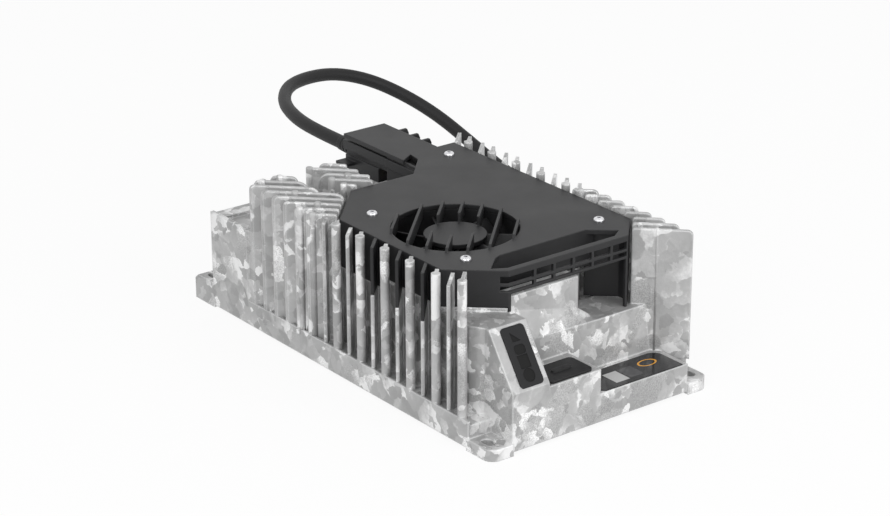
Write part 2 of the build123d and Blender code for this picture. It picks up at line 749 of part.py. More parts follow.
# Base plate, its gasket and its countersunk screws
with BuildPart() as base_gasket:
    with BuildSketch(Plane.XY.offset(foot_drop + plate_thickness)):
        Rectangle(plate_length, plate_width)
        with GridLocations(plate_length - plate_notch_x, plate_width - plate_notch_y, 2, 2):
            Rectangle(plate_notch_x, plate_notch_y, mode=Mode.SUBTRACT)
        Rectangle(2 * bay_half_length + gasket_inset, 2 * bay_half_width + gasket_inset, mode=Mode.SUBTRACT)
        Rectangle(2 * end_bay_x + gasket_inset, 2 * end_bay_y + gasket_inset, mode=Mode.SUBTRACT)
        with Locations(*base_screw_spots):
            Circle(base_screw_hole / 2, mode=Mode.SUBTRACT)
    extrude(amount=gasket_thickness)
base_gasket.part.label = "base_gasket"
export_step(base_gasket.part, "parts/base_gasket.step")

with BuildPart() as base_plate:
    with BuildSketch(Plane.XY.offset(foot_drop)):
        Rectangle(plate_length, plate_width)
        with GridLocations(plate_length - plate_notch_x, plate_width - plate_notch_y, 2, 2):
            Rectangle(plate_notch_x, plate_notch_y, mode=Mode.SUBTRACT)
    extrude(amount=plate_thickness)
    with Locations(*[Location((x, y, foot_drop), (180, 0, 0)) for x, y in base_screw_spots]):
        CounterSinkHole(base_screw_hole / 2, base_screw_head / 2 + seat_clearance, depth=plate_thickness,
                        counter_sink_angle=90)
base_plate.part.label = "base_plate"
export_step(base_plate.part, "parts/base_plate.step")

with BuildPart() as base_screws:
    with Locations(*[(x, y, foot_drop) for x, y in base_screw_spots]):
        Cylinder(base_screw_shank / 2, screw_depth - screw_tip_gap, align=(Align.CENTER, Align.CENTER, Align.MIN))
    with Locations(*[(x, y, foot_drop) for x, y in base_screw_spots]):
        Cone(base_screw_head / 2, base_screw_shank / 2, (base_screw_head - base_screw_shank) / 2,
             align=(Align.CENTER, Align.CENTER, Align.MIN))
base_screws.part.label = "base_screws"
export_step(base_screws.part, "parts/base_screws.step")

# Fan cover: roof and neck in one moulding, with guard, handle pocket, grille and ribs
with BuildPart() as fan_cover:
    with BuildSketch(Plane.XY.offset(roof_low)) as roof_plan:
        outline(cover_outline)
        outline(neck_outline)
    extrude(amount=cover_roof)
    with BuildSketch(Plane.XY.offset(cover_bottom)):
        outline(cover_outline)
        offset(amount=-cover_wall, kind=Kind.INTERSECTION, mode=Mode.SUBTRACT)
    extrude(amount=roof_low - cover_bottom)
    # Near wall's lower edge: higher over the high lip, and down to the low lip behind it
    with BuildSketch(Plane.XY.offset(cover_bottom - 1)):
        outline([(near_lip_step_x - seat_gap, cover_near_y - 1), (cover_front_x - 0.2, cover_near_y - 1),
                 (cover_front_x - 0.2, cover_near_y + near_front_chamfer_y - 0.2),
                 (near_lip_step_x - seat_gap, cover_near_y + near_front_chamfer_y - 0.2)])
    extrude(amount=near_lip_high + seat_gap - cover_bottom + 1, mode=Mode.SUBTRACT)
    with BuildSketch(Plane.XY.offset(near_lip_low + seat_gap)):
        outline([(lip_start_x, cover_near_y), (near_lip_step_x - seat_gap, cover_near_y),
                 (near_lip_step_x - seat_gap, wall_inner_y), (lip_start_x, wall_inner_y)])
    extrude(amount=cover_bottom - near_lip_low)
    # Wing of the wall that goes down to the right deck, and the wall beside the finger recess
    wing_bottom = right_deck_top + seat_gap
    chamfer_fall = far_front_chamfer_x / far_front_chamfer_y
    recess_end_x = cover_front_x - (recess_side_y - cover_far_y + far_front_chamfer_y) * chamfer_fall - cover_wall / 2
    with BuildSketch(Plane.XY.offset(wing_bottom)):
        outline([(cover_front_x, wing_start_y), (cover_front_x, cover_far_y - far_front_chamfer_y),
                 (wing_end_x, wing_end_y), (wing_end_x - cover_wall, wing_end_y - cover_wall),
                 (cover_front_x - cover_wall, cover_far_y - far_front_chamfer_y - 1.0),
                 (cover_front_x - cover_wall, wing_start_y)])
        outline([(baffle_corner_x, recess_side_y), (recess_end_x, recess_side_y),
                 (recess_end_x - baffle_wall, recess_side_y + baffle_wall),
                 (baffle_corner_x, recess_side_y + baffle_wall)])
        outline([(baffle_corner_x, recess_side_y), (baffle_corner_x, recess_side_y + baffle_wall),
                 (baffle_start_x - baffle_wall, baffle_start_y + baffle_wall), (baffle_start_x, baffle_start_y)])
    extrude(amount=roof_low - wing_bottom)
    # Back wall of the pocket, as far down as the decks allow
    with BuildSketch(Plane.XY.offset(near_lip_high + seat_gap)):
        outline([(cover_front_x - cover_wall, pocket_near_y - 20.0), (pocket_back_x, pocket_near_y),
                 (pocket_back_x, baffle_start_y), (pocket_back_x - baffle_wall, baffle_start_y),
                 (pocket_back_x - baffle_wall, pocket_near_y - 1.0),
                 (cover_front_x - cover_wall, pocket_near_y - 20.0 - baffle_wall * 1.6)])
        outline([(pocket_back_x, baffle_start_y), (baffle_start_x - 1, baffle_start_y),
                 (baffle_start_x - 1, baffle_start_y + baffle_wall), (pocket_back_x, baffle_start_y + baffle_wall)])
    extrude(amount=roof_low - near_lip_high - seat_gap)
    # Pocket through the roof, behind the handle bar
    with BuildSketch(Plane.XY.offset(roof_low - 1)):
        outline([(pocket_front_x - 5.5, pocket_near_y - 14.0), (pocket_back_x + 2.0, pocket_near_y),
                 (pocket_back_x, pocket_near_y + 5.0), (pocket_back_x, pocket_far_y - 1.0),
                 (pocket_front_x - 6.0, pocket_far_y + 16.0), (pocket_front_x, pocket_far_y + 7.0),
                 (pocket_front_x, pocket_near_y - 4.0)])
    extrude(amount=cover_roof + 2, mode=Mode.SUBTRACT)
    # Front wall: open under the grille, and two rows of windows in it
    with BuildSketch(Plane.XY.offset(wing_bottom - 1)):
        outline([(cover_front_x - cover_wall - 0.5, grille_near_y), (cover_front_x + 1, grille_near_y),
                 (cover_front_x + 1, wing_start_y), (cover_front_x - cover_wall - 0.5, wing_start_y)])
    extrude(amount=grille_low - wing_bottom + 1, mode=Mode.SUBTRACT)
    window_edges = [grille_near_y - 3.0]
    window_edges += [grille_first_y + n * grille_pitch for n in range(grille_bars)]
    window_edges += [grille_far_y + grille_bar / 2]
    with BuildSketch(Plane.YZ.offset(cover_front_x + 1)):
        for left, right in zip(window_edges[:-1], window_edges[1:]):
            for low, high in ((grille_low + grille_low_bar, grille_mid - grille_mid_bar / 2),
                              (grille_mid + grille_mid_bar / 2, grille_top)):
                with Locations(((left + right) / 2, (low + high) / 2)):
                    Rectangle(right - left - grille_bar, high - low)
    extrude(amount=-cover_wall - 1.5, mode=Mode.SUBTRACT)
    corner_y = cover_near_y + near_front_chamfer_y
    for low, high in ((grille_low + grille_low_bar, grille_mid - grille_mid_bar / 2),
                      (grille_mid + grille_mid_bar / 2, grille_top)):
        with BuildSketch(Plane.XY.offset(low)):
            outline([(cover_front_x - grille_corner, corner_y - 4.3), (cover_front_x + 1, corner_y - 6.0),
                     (cover_front_x + 1, corner_y + 1.0), (cover_front_x - grille_corner, corner_y + 1.0),
                     (cover_front_x - grille_corner - 2.6, corner_y - 2.0)])
        extrude(amount=high - low, mode=Mode.SUBTRACT)
    # Handle bar: the roof's front edge, thicker than the roof
    with BuildSketch(Plane.XZ.offset(-grille_far_y)):
        outline([(pocket_front_x + 0.5, grille_top), (cover_front_x, grille_top), (cover_front_x, roof_low + 1),
                 (pocket_front_x + 0.5, roof_low + 1)])
    extrude(amount=grille_far_y - grille_near_y)
    # Fan opening with its fixed guard
    with BuildSketch(Plane.XY.offset(roof_low - 1)):
        with Locations((fan_x, fan_y)):
            Circle(fan_opening / 2)
    extrude(amount=cover_roof + 2, mode=Mode.SUBTRACT)
    with BuildSketch(Plane.XY.offset(guard_low)):
        with Locations((fan_x, fan_y)):
            Circle(guard_disc / 2)
    extrude(amount=guard_disc_thickness)
    guard_shoulder = roof_low + 1
    for number in range(-3, 4):
        shift = number * guard_bar_pitch
        reach = math.sqrt((fan_opening / 2) ** 2 - shift ** 2) + guard_bar_overlap
        foot = math.sqrt((fan_opening / 2 - seat_gap) ** 2 - (abs(shift) + guard_bar_width / 2) ** 2)
        with BuildSketch(Plane((fan_x + shift / diagonal, fan_y + shift / diagonal, 0), x_dir=(-1, 1, 0),
                               z_dir=(1, 1, 0))):
            outline([(-foot, guard_low), (foot, guard_low), (foot, guard_shoulder), (reach, cover_top - 0.5),
                     (reach - guard_bar_overlap, cover_top + guard_bar_rise),
                     (guard_bar_overlap - reach, cover_top + guard_bar_rise), (-reach, cover_top - 0.5),
                     (-foot, guard_shoulder)])
        extrude(amount=guard_bar_width / 2, both=True)
    with BuildSketch(Plane.XY.offset(guard_low + guard_disc_thickness)):
        with Locations((fan_x, fan_y)):
            Circle(guard_disc / 2 - 1.0)
    extrude(amount=cover_roof + guard_bar_depth, mode=Mode.SUBTRACT)
    # Ribs across the near wall, each just above a low plate of the near row
    for number in cover_ribs:
        line = near_lines[number]
        wall_z = near_lip_high if line - cover_near_y > near_lip_step_x else near_lip_low
        plate(line, [(cover_near_y + 1, wall_z + rib_gap), (cover_near_y + 1, roof_low + 1),
                     (cover_near_y, cover_top - seat_gap), (-near_plate_reach, cover_top - seat_gap),
                     (-near_plate_reach, plate_low_top + rib_gap), (cover_near_y, wall_z + rib_gap)], rib_thickness)
    # Bosses down to the casting for the four screws
    with BuildSketch(Plane.XY.offset(cover_bottom)):
        with Locations(*cover_screws):
            Circle(cover_screw_boss / 2)
    extrude(amount=roof_low - cover_bottom + 0.5)
    with BuildSketch(Plane.XY.offset(cover_bottom)):
        with Locations(*cover_screws):
            Circle(cover_screw_hole / 2)
    extrude(amount=cover_top - cover_bottom, mode=Mode.SUBTRACT)
    # Blind holes for the fan screws
    with BuildSketch(Plane.XY.offset(roof_low)):
        with GridLocations(fan_hole_pitch, fan_hole_pitch, 2, 2):
            with Locations((fan_x, fan_y)):
                Circle(fan_hole / 2)
    extrude(amount=cover_roof - 1.2, mode=Mode.SUBTRACT)
    # Room for the socket under the neck
    with BuildSketch(Plane.XY.offset(cover_bottom - 1)):
        outline([(cover_rear_x - 1, socket_near_y - 0.4), (socket_front_x + 0.4, socket_near_y - 0.4),
                 (socket_front_x + 0.4, neck_far_y - cover_wall), (cover_rear_x - 1, neck_far_y - cover_wall)])
    extrude(amount=rail_top + 0.5 - cover_bottom + 1, mode=Mode.SUBTRACT)
    # Neck: far wall with three ribs, near wall with its rail
    neck_bottom = connector_low
    with BuildSketch(Plane.XY.offset(neck_bottom)):
        outline([(neck_rear_x, neck_far_y - cover_wall), (cover_rear_x + 1, neck_far_y - cover_wall),
                 (cover_rear_x + 1, neck_far_y), (neck_rear_x, neck_far_y)])
        outline([(neck_split_x, neck_near_y + rail_step), (neck_front_x, neck_near_y + rail_step),
                 (neck_front_x, neck_near_y + rail_step + cover_wall), (neck_split_x, neck_near_y + rail_step + cover_wall)])
    extrude(amount=roof_low - neck_bottom + 0.5)
    with BuildSketch(Plane.XY.offset(rail_low)):
        outline([(neck_split_x, neck_near_y), (neck_front_x - 2, neck_near_y), (neck_front_x + 3, neck_near_y - 5.0),
                 (neck_front_x + 3, neck_near_y + rail_step + 1), (neck_split_x, neck_near_y + rail_step + 1)])
    extrude(amount=rail_top - rail_low)
    for x in neck_ribs:
        with BuildSketch(Plane.YZ.offset(x - rib_thickness / 2)):
            outline([(neck_far_y - 0.5, neck_bottom + 4.0), (neck_far_y - 0.5, cover_top - 0.8),
                     (neck_far_y + rib_reach - 1.5, cover_top - 0.8), (neck_far_y + rib_reach, cover_top - 4.0),
                     (neck_far_y + rib_reach, neck_bottom + 14.0)])
        extrude(amount=rib_thickness)
fan_cover.part.label = "fan_cover"
export_step(fan_cover.part, "parts/fan_cover.step")

with BuildPart() as fan_cover_screws:
    with Locations(*[(x, y, cover_top) for x, y in cover_screws]):
        Cylinder(cover_screw_head / 2, cover_screw_head_height, align=(Align.CENTER, Align.CENTER, Align.MIN))
    fillet(fan_cover_screws.edges().group_by(Axis.Z)[-1], radius=cover_screw_head_height * 0.8)
    with Locations(*[(x, y, cover_top + 0.5) for x, y in cover_screws]):
        Cylinder(cover_screw_shank / 2, cover_screw_length, align=(Align.CENTER, Align.CENTER, Align.MAX))
    with BuildSketch(Plane.XY.offset(cover_top + cover_screw_head_height)):
        with Locations(*cover_screws):
            RegularPolygon(hex_socket / 2, 6, major_radius=False)
    extrude(amount=-1.6, mode=Mode.SUBTRACT)
fan_cover_screws.part.label = "fan_cover_screws"
export_step(fan_cover_screws.part, "parts/fan_cover_screws.step")

# Fan: square frame with spider, rotor with blades, and the four screws into the cover
fan_bottom = cover_bottom + seat_gap
fan_screw_spots = [(fan_x + i * fan_hole_pitch / 2, fan_y + j * fan_hole_pitch / 2) for i in (-1, 1) for j in (-1, 1)]
with BuildPart() as fan_frame:
    with BuildSketch(Plane.XY.offset(fan_bottom)):
        with Locations((fan_x, fan_y)):
            RectangleRounded(fan_size, fan_size, fan_corner)
            Circle(fan_bore / 2, mode=Mode.SUBTRACT)
            with GridLocations(fan_hole_pitch, fan_hole_pitch, 2, 2):
                Circle(fan_hole / 2, mode=Mode.SUBTRACT)
    extrude(amount=fan_depth)
    with BuildSketch(Plane.XY.offset(fan_bottom)):
        with Locations((fan_x, fan_y)):
            Circle(stator_diameter / 2)
            with PolarLocations(0, 4, start_angle=45):
                Rectangle(fan_bore / 2 + 1, 4.0, align=(Align.MIN, Align.CENTER))
    extrude(amount=spider_height)
    with BuildSketch(Plane.XY.offset(fan_bottom + spider_height)):
        with Locations((fan_x, fan_y)):
            Circle(stator_core / 2)
    extrude(amount=stator_height)
    with BuildSketch(Plane.XY.offset(fan_bottom)):
        with Locations((fan_x, fan_y)):
            Circle(shaft_diameter / 2 + shaft_clearance)
    extrude(amount=spider_height + stator_height, mode=Mode.SUBTRACT)
    with BuildSketch(Plane.XY.offset(fan_bottom)):
        with Locations(*fan_screw_spots):
            Circle(fan_screw_head / 2 + seat_clearance)
    extrude(amount=fan_screw_head_height + 2 * seat_clearance, mode=Mode.SUBTRACT)
fan_frame.part.label = "fan_frame"
export_step(fan_frame.part, "parts/fan_frame.step")

hub_bottom = fan_bottom + spider_height + seat_gap
hub_top = fan_bottom + fan_depth - rotor_drop
with BuildPart() as fan_rotor:
    with BuildSketch(Plane.XY.offset(hub_bottom)):
        with Locations((fan_x, fan_y)):
            Circle(hub_diameter / 2)
    extrude(amount=hub_top - hub_bottom)
    fillet(fan_rotor.edges().group_by(Axis.Z)[-1], radius=2.0)
    with BuildSketch(Plane.XY.offset(hub_bottom)):
        with Locations((fan_x, fan_y)):
            Circle(hub_diameter / 2 - 2.0)
    extrude(amount=stator_height + seat_gap, mode=Mode.SUBTRACT)
    with BuildSketch(Plane.XY.offset(fan_bottom + 1.0)):
        with Locations((fan_x, fan_y)):
            Circle(shaft_diameter / 2)
    extrude(amount=hub_top - fan_bottom - 2.0)
    for number in range(blade_count):
        angle = 2 * math.pi * number / blade_count
        outward = (math.cos(angle), math.sin(angle), 0)
        root = (hub_diameter / 2 - 0.8)
        with BuildSketch(Plane((fan_x + root * outward[0], fan_y + root * outward[1], hub_bottom + 0.5),
                               x_dir=(-outward[1], outward[0], 0), z_dir=outward)):
            outline([(-blade_sweep - blade_thickness, 0), (-blade_sweep + blade_thickness, 0),
                     (0, blade_height * 0.42), (blade_sweep, blade_height), (blade_sweep - blade_thickness, blade_height),
                     (-2 * blade_thickness, blade_height * 0.5)])
        extrude(amount=rotor_diameter / 2 - root)
fan_rotor.part.label = "fan_rotor"
export_step(fan_rotor.part, "parts/fan_rotor.step")

with BuildPart() as fan_screws:
    with Locations(*[(x, y, fan_bottom + seat_clearance) for x, y in fan_screw_spots]):
        Cylinder(fan_screw_head / 2, fan_screw_head_height, align=(Align.CENTER, Align.CENTER, Align.MIN))
        Cylinder(fan_hole / 2 - seat_clearance, fan_depth + cover_roof - 1.5,
                 align=(Align.CENTER, Align.CENTER, Align.MIN))
fan_screws.part.label = "fan_screws"
export_step(fan_screws.part, "parts/fan_screws.step")

# Cord connector under the neck: socket on the casting, plug-in body, blades, strain relief
connector_near_y = neck_near_y + connector_side_gap
connector_far_y = neck_far_y - cover_wall - connector_side_gap
connector_front_x = neck_split_x - connector_side_gap
connector_mid_y = (connector_near_y + connector_far_y) / 2
with BuildPart() as mains_socket:
    with BuildSketch(Plane.XY.offset(core_top)):
        outline([(connector_front_x + connector_side_gap, socket_near_y), (socket_front_x, socket_near_y),
                 (socket_front_x, connector_far_y), (connector_front_x + connector_side_gap, connector_far_y)])
    extrude(amount=rail_top - core_top)
    with BuildSketch(Plane.YZ.offset(connector_front_x + connector_side_gap)):
        with Locations((connector_mid_y, (connector_low + rail_low) / 2)):
            Rectangle(mouth_width, mouth_height)
    extrude(amount=mouth_depth, mode=Mode.SUBTRACT)
mains_socket.part.label = "mains_socket"
export_step(mains_socket.part, "parts/mains_socket.step")

with BuildPart() as mains_blades:
    with BuildSketch(Plane.YZ.offset(connector_front_x + connector_side_gap - blade_reach)):
        with Locations(*[(connector_mid_y + n * blade_spacing, (connector_low + rail_low) / 2) for n in (-1, 0, 1)]):
            Rectangle(2.0, 6.3)
    extrude(amount=blade_reach + mouth_depth)
mains_blades.part.label = "mains_blades"
export_step(mains_blades.part, "parts/mains_blades.step")

with BuildPart() as cord_connector_body:
    with BuildSketch(Plane.XY.offset(connector_low)):
        outline([(connector_rear_x, connector_near_y + rail_step), (lower_split_x, connector_near_y + rail_step),
                 (lower_split_x, connector_far_y), (connector_rear_x, connector_far_y)])
    extrude(amount=groove_low - connector_low)
    with BuildSketch(Plane.XY.offset(groove_low)):
        outline([(connector_rear_x, connector_near_y + rail_step + groove_depth),
                 (connector_front_x, connector_near_y + rail_step + groove_depth),
                 (connector_front_x, connector_far_y), (connector_rear_x, connector_far_y)])
    extrude(amount=rail_low - groove_low)
    with BuildSketch(Plane.XY.offset(rail_low)):
        outline([(connector_rear_x, connector_near_y), (connector_front_x, connector_near_y),
                 (connector_front_x, connector_far_y), (connector_rear_x, connector_far_y)])
    extrude(amount=rail_top - rail_low)
    with BuildSketch(Plane.YZ.offset(connector_front_x)):
        with Locations(*[(connector_mid_y + n * blade_spacing, (connector_low + rail_low) / 2) for n in (-1, 0, 1)]):
            Rectangle(2.0 + 2 * blade_clearance, 6.3 + 2 * blade_clearance)
    extrude(amount=-blade_reach - 1.0, mode=Mode.SUBTRACT)
    # Latch tongue at the rear, beside the cord
    with BuildSketch(Plane.XY.offset(latch_z)):
        outline([(connector_rear_x, connector_near_y + rail_step + 1), (connector_rear_x + 12, connector_near_y + rail_step + 1),
                 (connector_rear_x + 12, connector_near_y - latch_reach), (connector_rear_x, connector_near_y - latch_reach)])
    extrude(amount=latch_thickness)
cord_connector_body.part.label = "cord_connector_body"
export_step(cord_connector_body.part, "parts/cord_connector_body.step")

with BuildPart() as strain_relief:
    with BuildSketch(Plane((connector_rear_x, cord_y, cord_z), x_dir=(0, 1, 0), z_dir=(-1, 0, 0))):
        Circle(relief_diameter / 2)
    with BuildSketch(Plane((connector_rear_x - relief_length, cord_y, cord_z), x_dir=(0, 1, 0), z_dir=(-1, 0, 0))):
        Circle(relief_tip / 2)
    loft()
    for n in range(relief_grooves):
        with BuildSketch(Plane((connector_rear_x - relief_first_groove - n * relief_groove_pitch, cord_y, cord_z),
                               x_dir=(0, 1, 0), z_dir=(-1, 0, 0))):
            Circle(relief_diameter)
            Circle(relief_tip / 2, mode=Mode.SUBTRACT)
        extrude(amount=relief_groove, mode=Mode.SUBTRACT)
strain_relief.part.label = "strain_relief"
export_step(strain_relief.part, "parts/strain_relief.step")

# Indicator panel on the wedge, with four recessed signs
wedge_plane = Plane(((deck_edge_x + half_length) / 2, panel_y, (deck_top + wedge_low) / 2), x_dir=(0, 1, 0),
                    z_dir=(deck_top - wedge_low, 0, half_length - deck_edge_x))
with BuildPart() as indicator_panel:
    with BuildSketch(wedge_plane):
        RectangleRounded(panel_width, panel_length, panel_corner)
    extrude(amount=panel_thickness)
    with BuildSketch(wedge_plane.offset(panel_thickness)):
        with Locations((0, panel_length / 2 - 7.5)):
            Polygon((-3.4, -3.0), (-3.4, 3.6), (3.4, -3.0), align=None)
        with Locations((0, 4.5)):
            RectangleRounded(9.0, 6.4, 2.4)
        with Locations((0, -3.8)):
            Rectangle(8.6, 9.0)
        with Locations((0, -panel_length / 2 + 7.5)):
            Circle(4.6)
    extrude(amount=-sign_depth, mode=Mode.SUBTRACT)
indicator_panel.part.label = "indicator_panel"
export_step(indicator_panel.part, "parts/indicator_panel.step")

# Rubber cover over the service port, and the port under it
with BuildPart() as port_cover:
    with BuildSketch(Plane.XY.offset(port_ledge_top)):
        with Locations((port_x, port_y)):
            RectangleRounded(port_cover_length, port_cover_width, port_cover_corner)
    extrude(amount=port_cover_thickness)
    with BuildSketch(Plane.XY.offset(port_ledge_top + port_cover_thickness)):
        with Locations((port_x, port_y)):
            SlotOverall(port_grip_length, port_grip_width, rotation=90)
    extrude(amount=port_grip_height)
    with BuildSketch(Plane.XY.offset(port_ledge_top)):
        with Locations((port_hole_x, port_y)):
            RectangleRounded(port_length - 2 * port_clearance - 2, port_width - 2 * port_clearance - 2, port_corner - 0.5)
    extrude(amount=-port_plug_depth)
port_cover.part.label = "port_cover"
export_step(port_cover.part, "parts/port_cover.step")

with BuildPart() as port_socket:
    with BuildSketch(Plane.XY.offset(port_ledge_top - casting_wall - port_flange)):
        with Locations((port_hole_x, port_y)):
            Rectangle(port_length + 2, port_width + 6)
    extrude(amount=port_flange - seat_clearance)
    with BuildSketch(Plane.XY.offset(port_ledge_top - port_plug_depth - seat_gap)):
        with Locations((port_hole_x, port_y)):
            RectangleRounded(port_length - 2 * port_clearance, port_width - 2 * port_clearance, port_corner)
    extrude(amount=-(casting_wall + port_flange - port_plug_depth - seat_gap))
port_socket.part.label = "port_socket"
export_step(port_socket.part, "parts/port_socket.step")

# Label plate on the low ledge
with BuildPart() as label_plate:
    with BuildSketch(Plane.XY.offset(label_ledge_top)) as label_plan:
        outline([(label_rear_x, label_near_y), (label_front_x - 4, label_near_y), (label_front_x, label_near_y + 4),
                 (label_front_x, label_far_y), (label_rear_x, label_far_y)])
        fillet(label_plan.vertices().sort_by(Axis.Y)[-2:].sort_by(Axis.X)[0], radius=label_corner)
    extrude(amount=label_thickness)
label_plate.part.label = "label_plate"
export_step(label_plate.part, "parts/label_plate.step")

# Circuit board on its spacers, and what stands on it
board_bottom = foot_drop + plate_thickness + spacer_height
board_top = board_bottom + board_thickness
spacer_spots = [(x, y) for x in (-spacer_x, 0, spacer_x) for y in (-spacer_y, spacer_y)]
with BuildPart() as board_spacers:
    with BuildSketch(Plane.XY.offset(foot_drop + plate_thickness)):
        with Locations(*spacer_spots):
            RegularPolygon(spacer_width / 2, 6, major_radius=False)
            Circle(board_screw_shank / 2 + seat_clearance, mode=Mode.SUBTRACT)
    extrude(amount=spacer_height)
board_spacers.part.label = "board_spacers"
export_step(board_spacers.part, "parts/board_spacers.step")

with BuildPart() as main_circuit_board:
    with BuildSketch(Plane.XY.offset(board_bottom)):
        Rectangle(board_length, board_width)
        with Locations(*spacer_spots):
            Circle(board_screw_shank / 2 + seat_clearance, mode=Mode.SUBTRACT)
    extrude(amount=board_thickness)
main_circuit_board.part.label = "main_circuit_board"
export_step(main_circuit_board.part, "parts/main_circuit_board.step")

with BuildPart() as board_screws:
    with Locations(*[(x, y, board_top) for x, y in spacer_spots]):
        Cylinder(board_screw_head / 2, board_screw_head_height, align=(Align.CENTER, Align.CENTER, Align.MIN))
    with Locations(*[(x, y, board_top + 0.5) for x, y in spacer_spots]):
        Cylinder(board_screw_shank / 2, board_thickness + spacer_height - 1.0 + 0.5,
                 align=(Align.CENTER, Align.CENTER, Align.MAX))
board_screws.part.label = "board_screws"
export_step(board_screws.part, "parts/board_screws.step")


def box_on_board(x, y, length, width, height):
    """Plain body that stands on the board."""
    with BuildSketch(Plane.XY.offset(board_top)) as plan:
        with Locations((x, y)):
            Rectangle(length, width)
    extrude(plan.sketch, amount=height)


with BuildPart() as transformer_core:
    with BuildSketch(Plane.XZ.offset(-transformer_y - transformer_core_width / 2)):
        with Locations((transformer_x, board_top + transformer_height / 2)):
            Rectangle(transformer_length, transformer_height)
            with Locations((-transformer_window_pitch / 2, 0), (transformer_window_pitch / 2, 0)):
                Rectangle(transformer_window, transformer_height - 2 * transformer_yoke, mode=Mode.SUBTRACT)
    extrude(amount=transformer_core_width)
transformer_core.part.label = "transformer_core"
export_step(transformer_core.part, "parts/transformer_core.step")

with BuildPart() as transformer_winding:
    leg = transformer_window_pitch - transformer_window
    with BuildSketch(Plane.XY.offset(board_top + transformer_yoke + seat_gap)):
        with Locations((transformer_x, transformer_y)):
            RectangleRounded(leg + 2 * transformer_window - 2 * seat_gap,
                             transformer_core_width + 2 * transformer_window - 2 * seat_gap, transformer_window - 1)
            Rectangle(leg + 2 * seat_gap, transformer_core_width + 2 * seat_gap, mode=Mode.SUBTRACT)
    extrude(amount=transformer_height - 2 * transformer_yoke - 2 * seat_gap)
transformer_winding.part.label = "transformer_winding"
export_step(transformer_winding.part, "parts/transformer_winding.step")

choke_spots = {"input_choke": (input_choke_x, choke_y, choke_diameter), "output_choke": (output_choke_x, choke_y, choke_diameter)}
for choke_name, (x, y, diameter) in choke_spots.items():
    with BuildPart() as choke:
        with BuildSketch(Plane.XZ.offset(-y)):
            with Locations((x + (diameter + choke_hole) / 4, board_top + choke_height / 2)):
                RectangleRounded((diameter - choke_hole) / 2, choke_height, choke_round)
        revolve(axis=Axis((x, y, 0), (0, 0, 1)))
    choke.part.label = choke_name
    export_step(choke.part, "parts/" + choke_name + ".step")

with BuildPart() as bulk_capacitors:
    with BuildSketch(Plane.XY.offset(board_top)):
        with Locations(*[(capacitor_x + n * (capacitor_diameter + capacitor_gap), capacitor_y) for n in range(capacitor_count)]):
            Circle(capacitor_diameter / 2)
    extrude(amount=capacitor_height)
    chamfer(bulk_capacitors.edges().group_by(Axis.Z)[-1], length=0.8)
bulk_capacitors.part.label = "bulk_capacitors"
export_step(bulk_capacitors.part, "parts/bulk_capacitors.step")

with BuildPart() as filter_capacitors:
    for n in range(2):
        box_on_board(filter_x, filter_y + n * (filter_width + 2.0), filter_length, filter_width, filter_height)
filter_capacitors.part.label = "filter_capacitors"
export_step(filter_capacitors.part, "parts/filter_capacitors.step")

with BuildPart() as inrush_relay:
    box_on_board(relay_x, relay_y, relay_length, relay_width, relay_height)
    fillet(inrush_relay.edges().filter_by(Axis.Z), radius=1.0)
inrush_relay.part.label = "inrush_relay"
export_step(inrush_relay.part, "parts/inrush_relay.step")

with BuildPart() as mains_fuse:
    with BuildSketch(Plane.YZ.offset(fuse_x - fuse_length / 2)):
        with Locations((fuse_y, board_top + fuse_diameter / 2)):
            Circle(fuse_diameter / 2)
    extrude(amount=fuse_length)
    for x in (fuse_x - fuse_length / 2 + 2.5, fuse_x + fuse_length / 2 - 2.5):
        box_on_board(x, fuse_y, 5.0, fuse_diameter + 2.0, fuse_diameter + 1.0)
mains_fuse.part.label = "mains_fuse"
export_step(mains_fuse.part, "parts/mains_fuse.step")

with BuildPart() as control_board:
    box_on_board(control_x, control_y, control_length, board_thickness, control_height)
control_board.part.label = "control_board"
export_step(control_board.part, "parts/control_board.step")

# Power transistors in a row against the wall of the case, on a pad, under one clamp bar
wall_y = -bay_half_width
pad_face = wall_y + seat_clearance + pad_thickness
transistor_spots = [transistor_first_x + n * transistor_pitch for n in range(transistor_count)]
with BuildPart() as thermal_pad:
    with BuildSketch(Plane.XZ.offset(-wall_y - seat_clearance)):
        with Locations(((transistor_spots[0] + transistor_spots[-1]) / 2, board_top + pad_height / 2 + 1)):
            Rectangle(transistor_spots[-1] - transistor_spots[0] + transistor_width + 6, pad_height)
    extrude(amount=-pad_thickness)
thermal_pad.part.label = "thermal_pad"
export_step(thermal_pad.part, "parts/thermal_pad.step")

with BuildPart() as power_transistors:
    with BuildSketch(Plane.XY.offset(board_top + transistor_leg)):
        with Locations(*[(x, pad_face + seat_clearance + transistor_depth / 2) for x in transistor_spots]):
            Rectangle(transistor_width, transistor_depth)
    extrude(amount=transistor_height)
    with BuildSketch(Plane.XY.offset(board_top)):
        with Locations(*[(x + n * 5.4, pad_face + seat_clearance + 2.4) for x in transistor_spots for n in (-1, 0, 1)]):
            Rectangle(1.2, 0.8)
    extrude(amount=transistor_leg)
power_transistors.part.label = "power_transistors"
export_step(power_transistors.part, "parts/power_transistors.step")

clamp_y = pad_face + seat_clearance + transistor_depth + seat_clearance
with BuildPart() as transistor_clamp:
    with BuildSketch(Plane.XZ.offset(-clamp_y)):
        with Locations(((transistor_spots[0] + transistor_spots[-1]) / 2, board_top + transistor_leg + clamp_height)):
            Rectangle(transistor_spots[-1] - transistor_spots[0] + transistor_width + 6, clamp_height)
    extrude(amount=-clamp_thickness)
transistor_clamp.part.label = "transistor_clamp"
export_step(transistor_clamp.part, "parts/transistor_clamp.step")

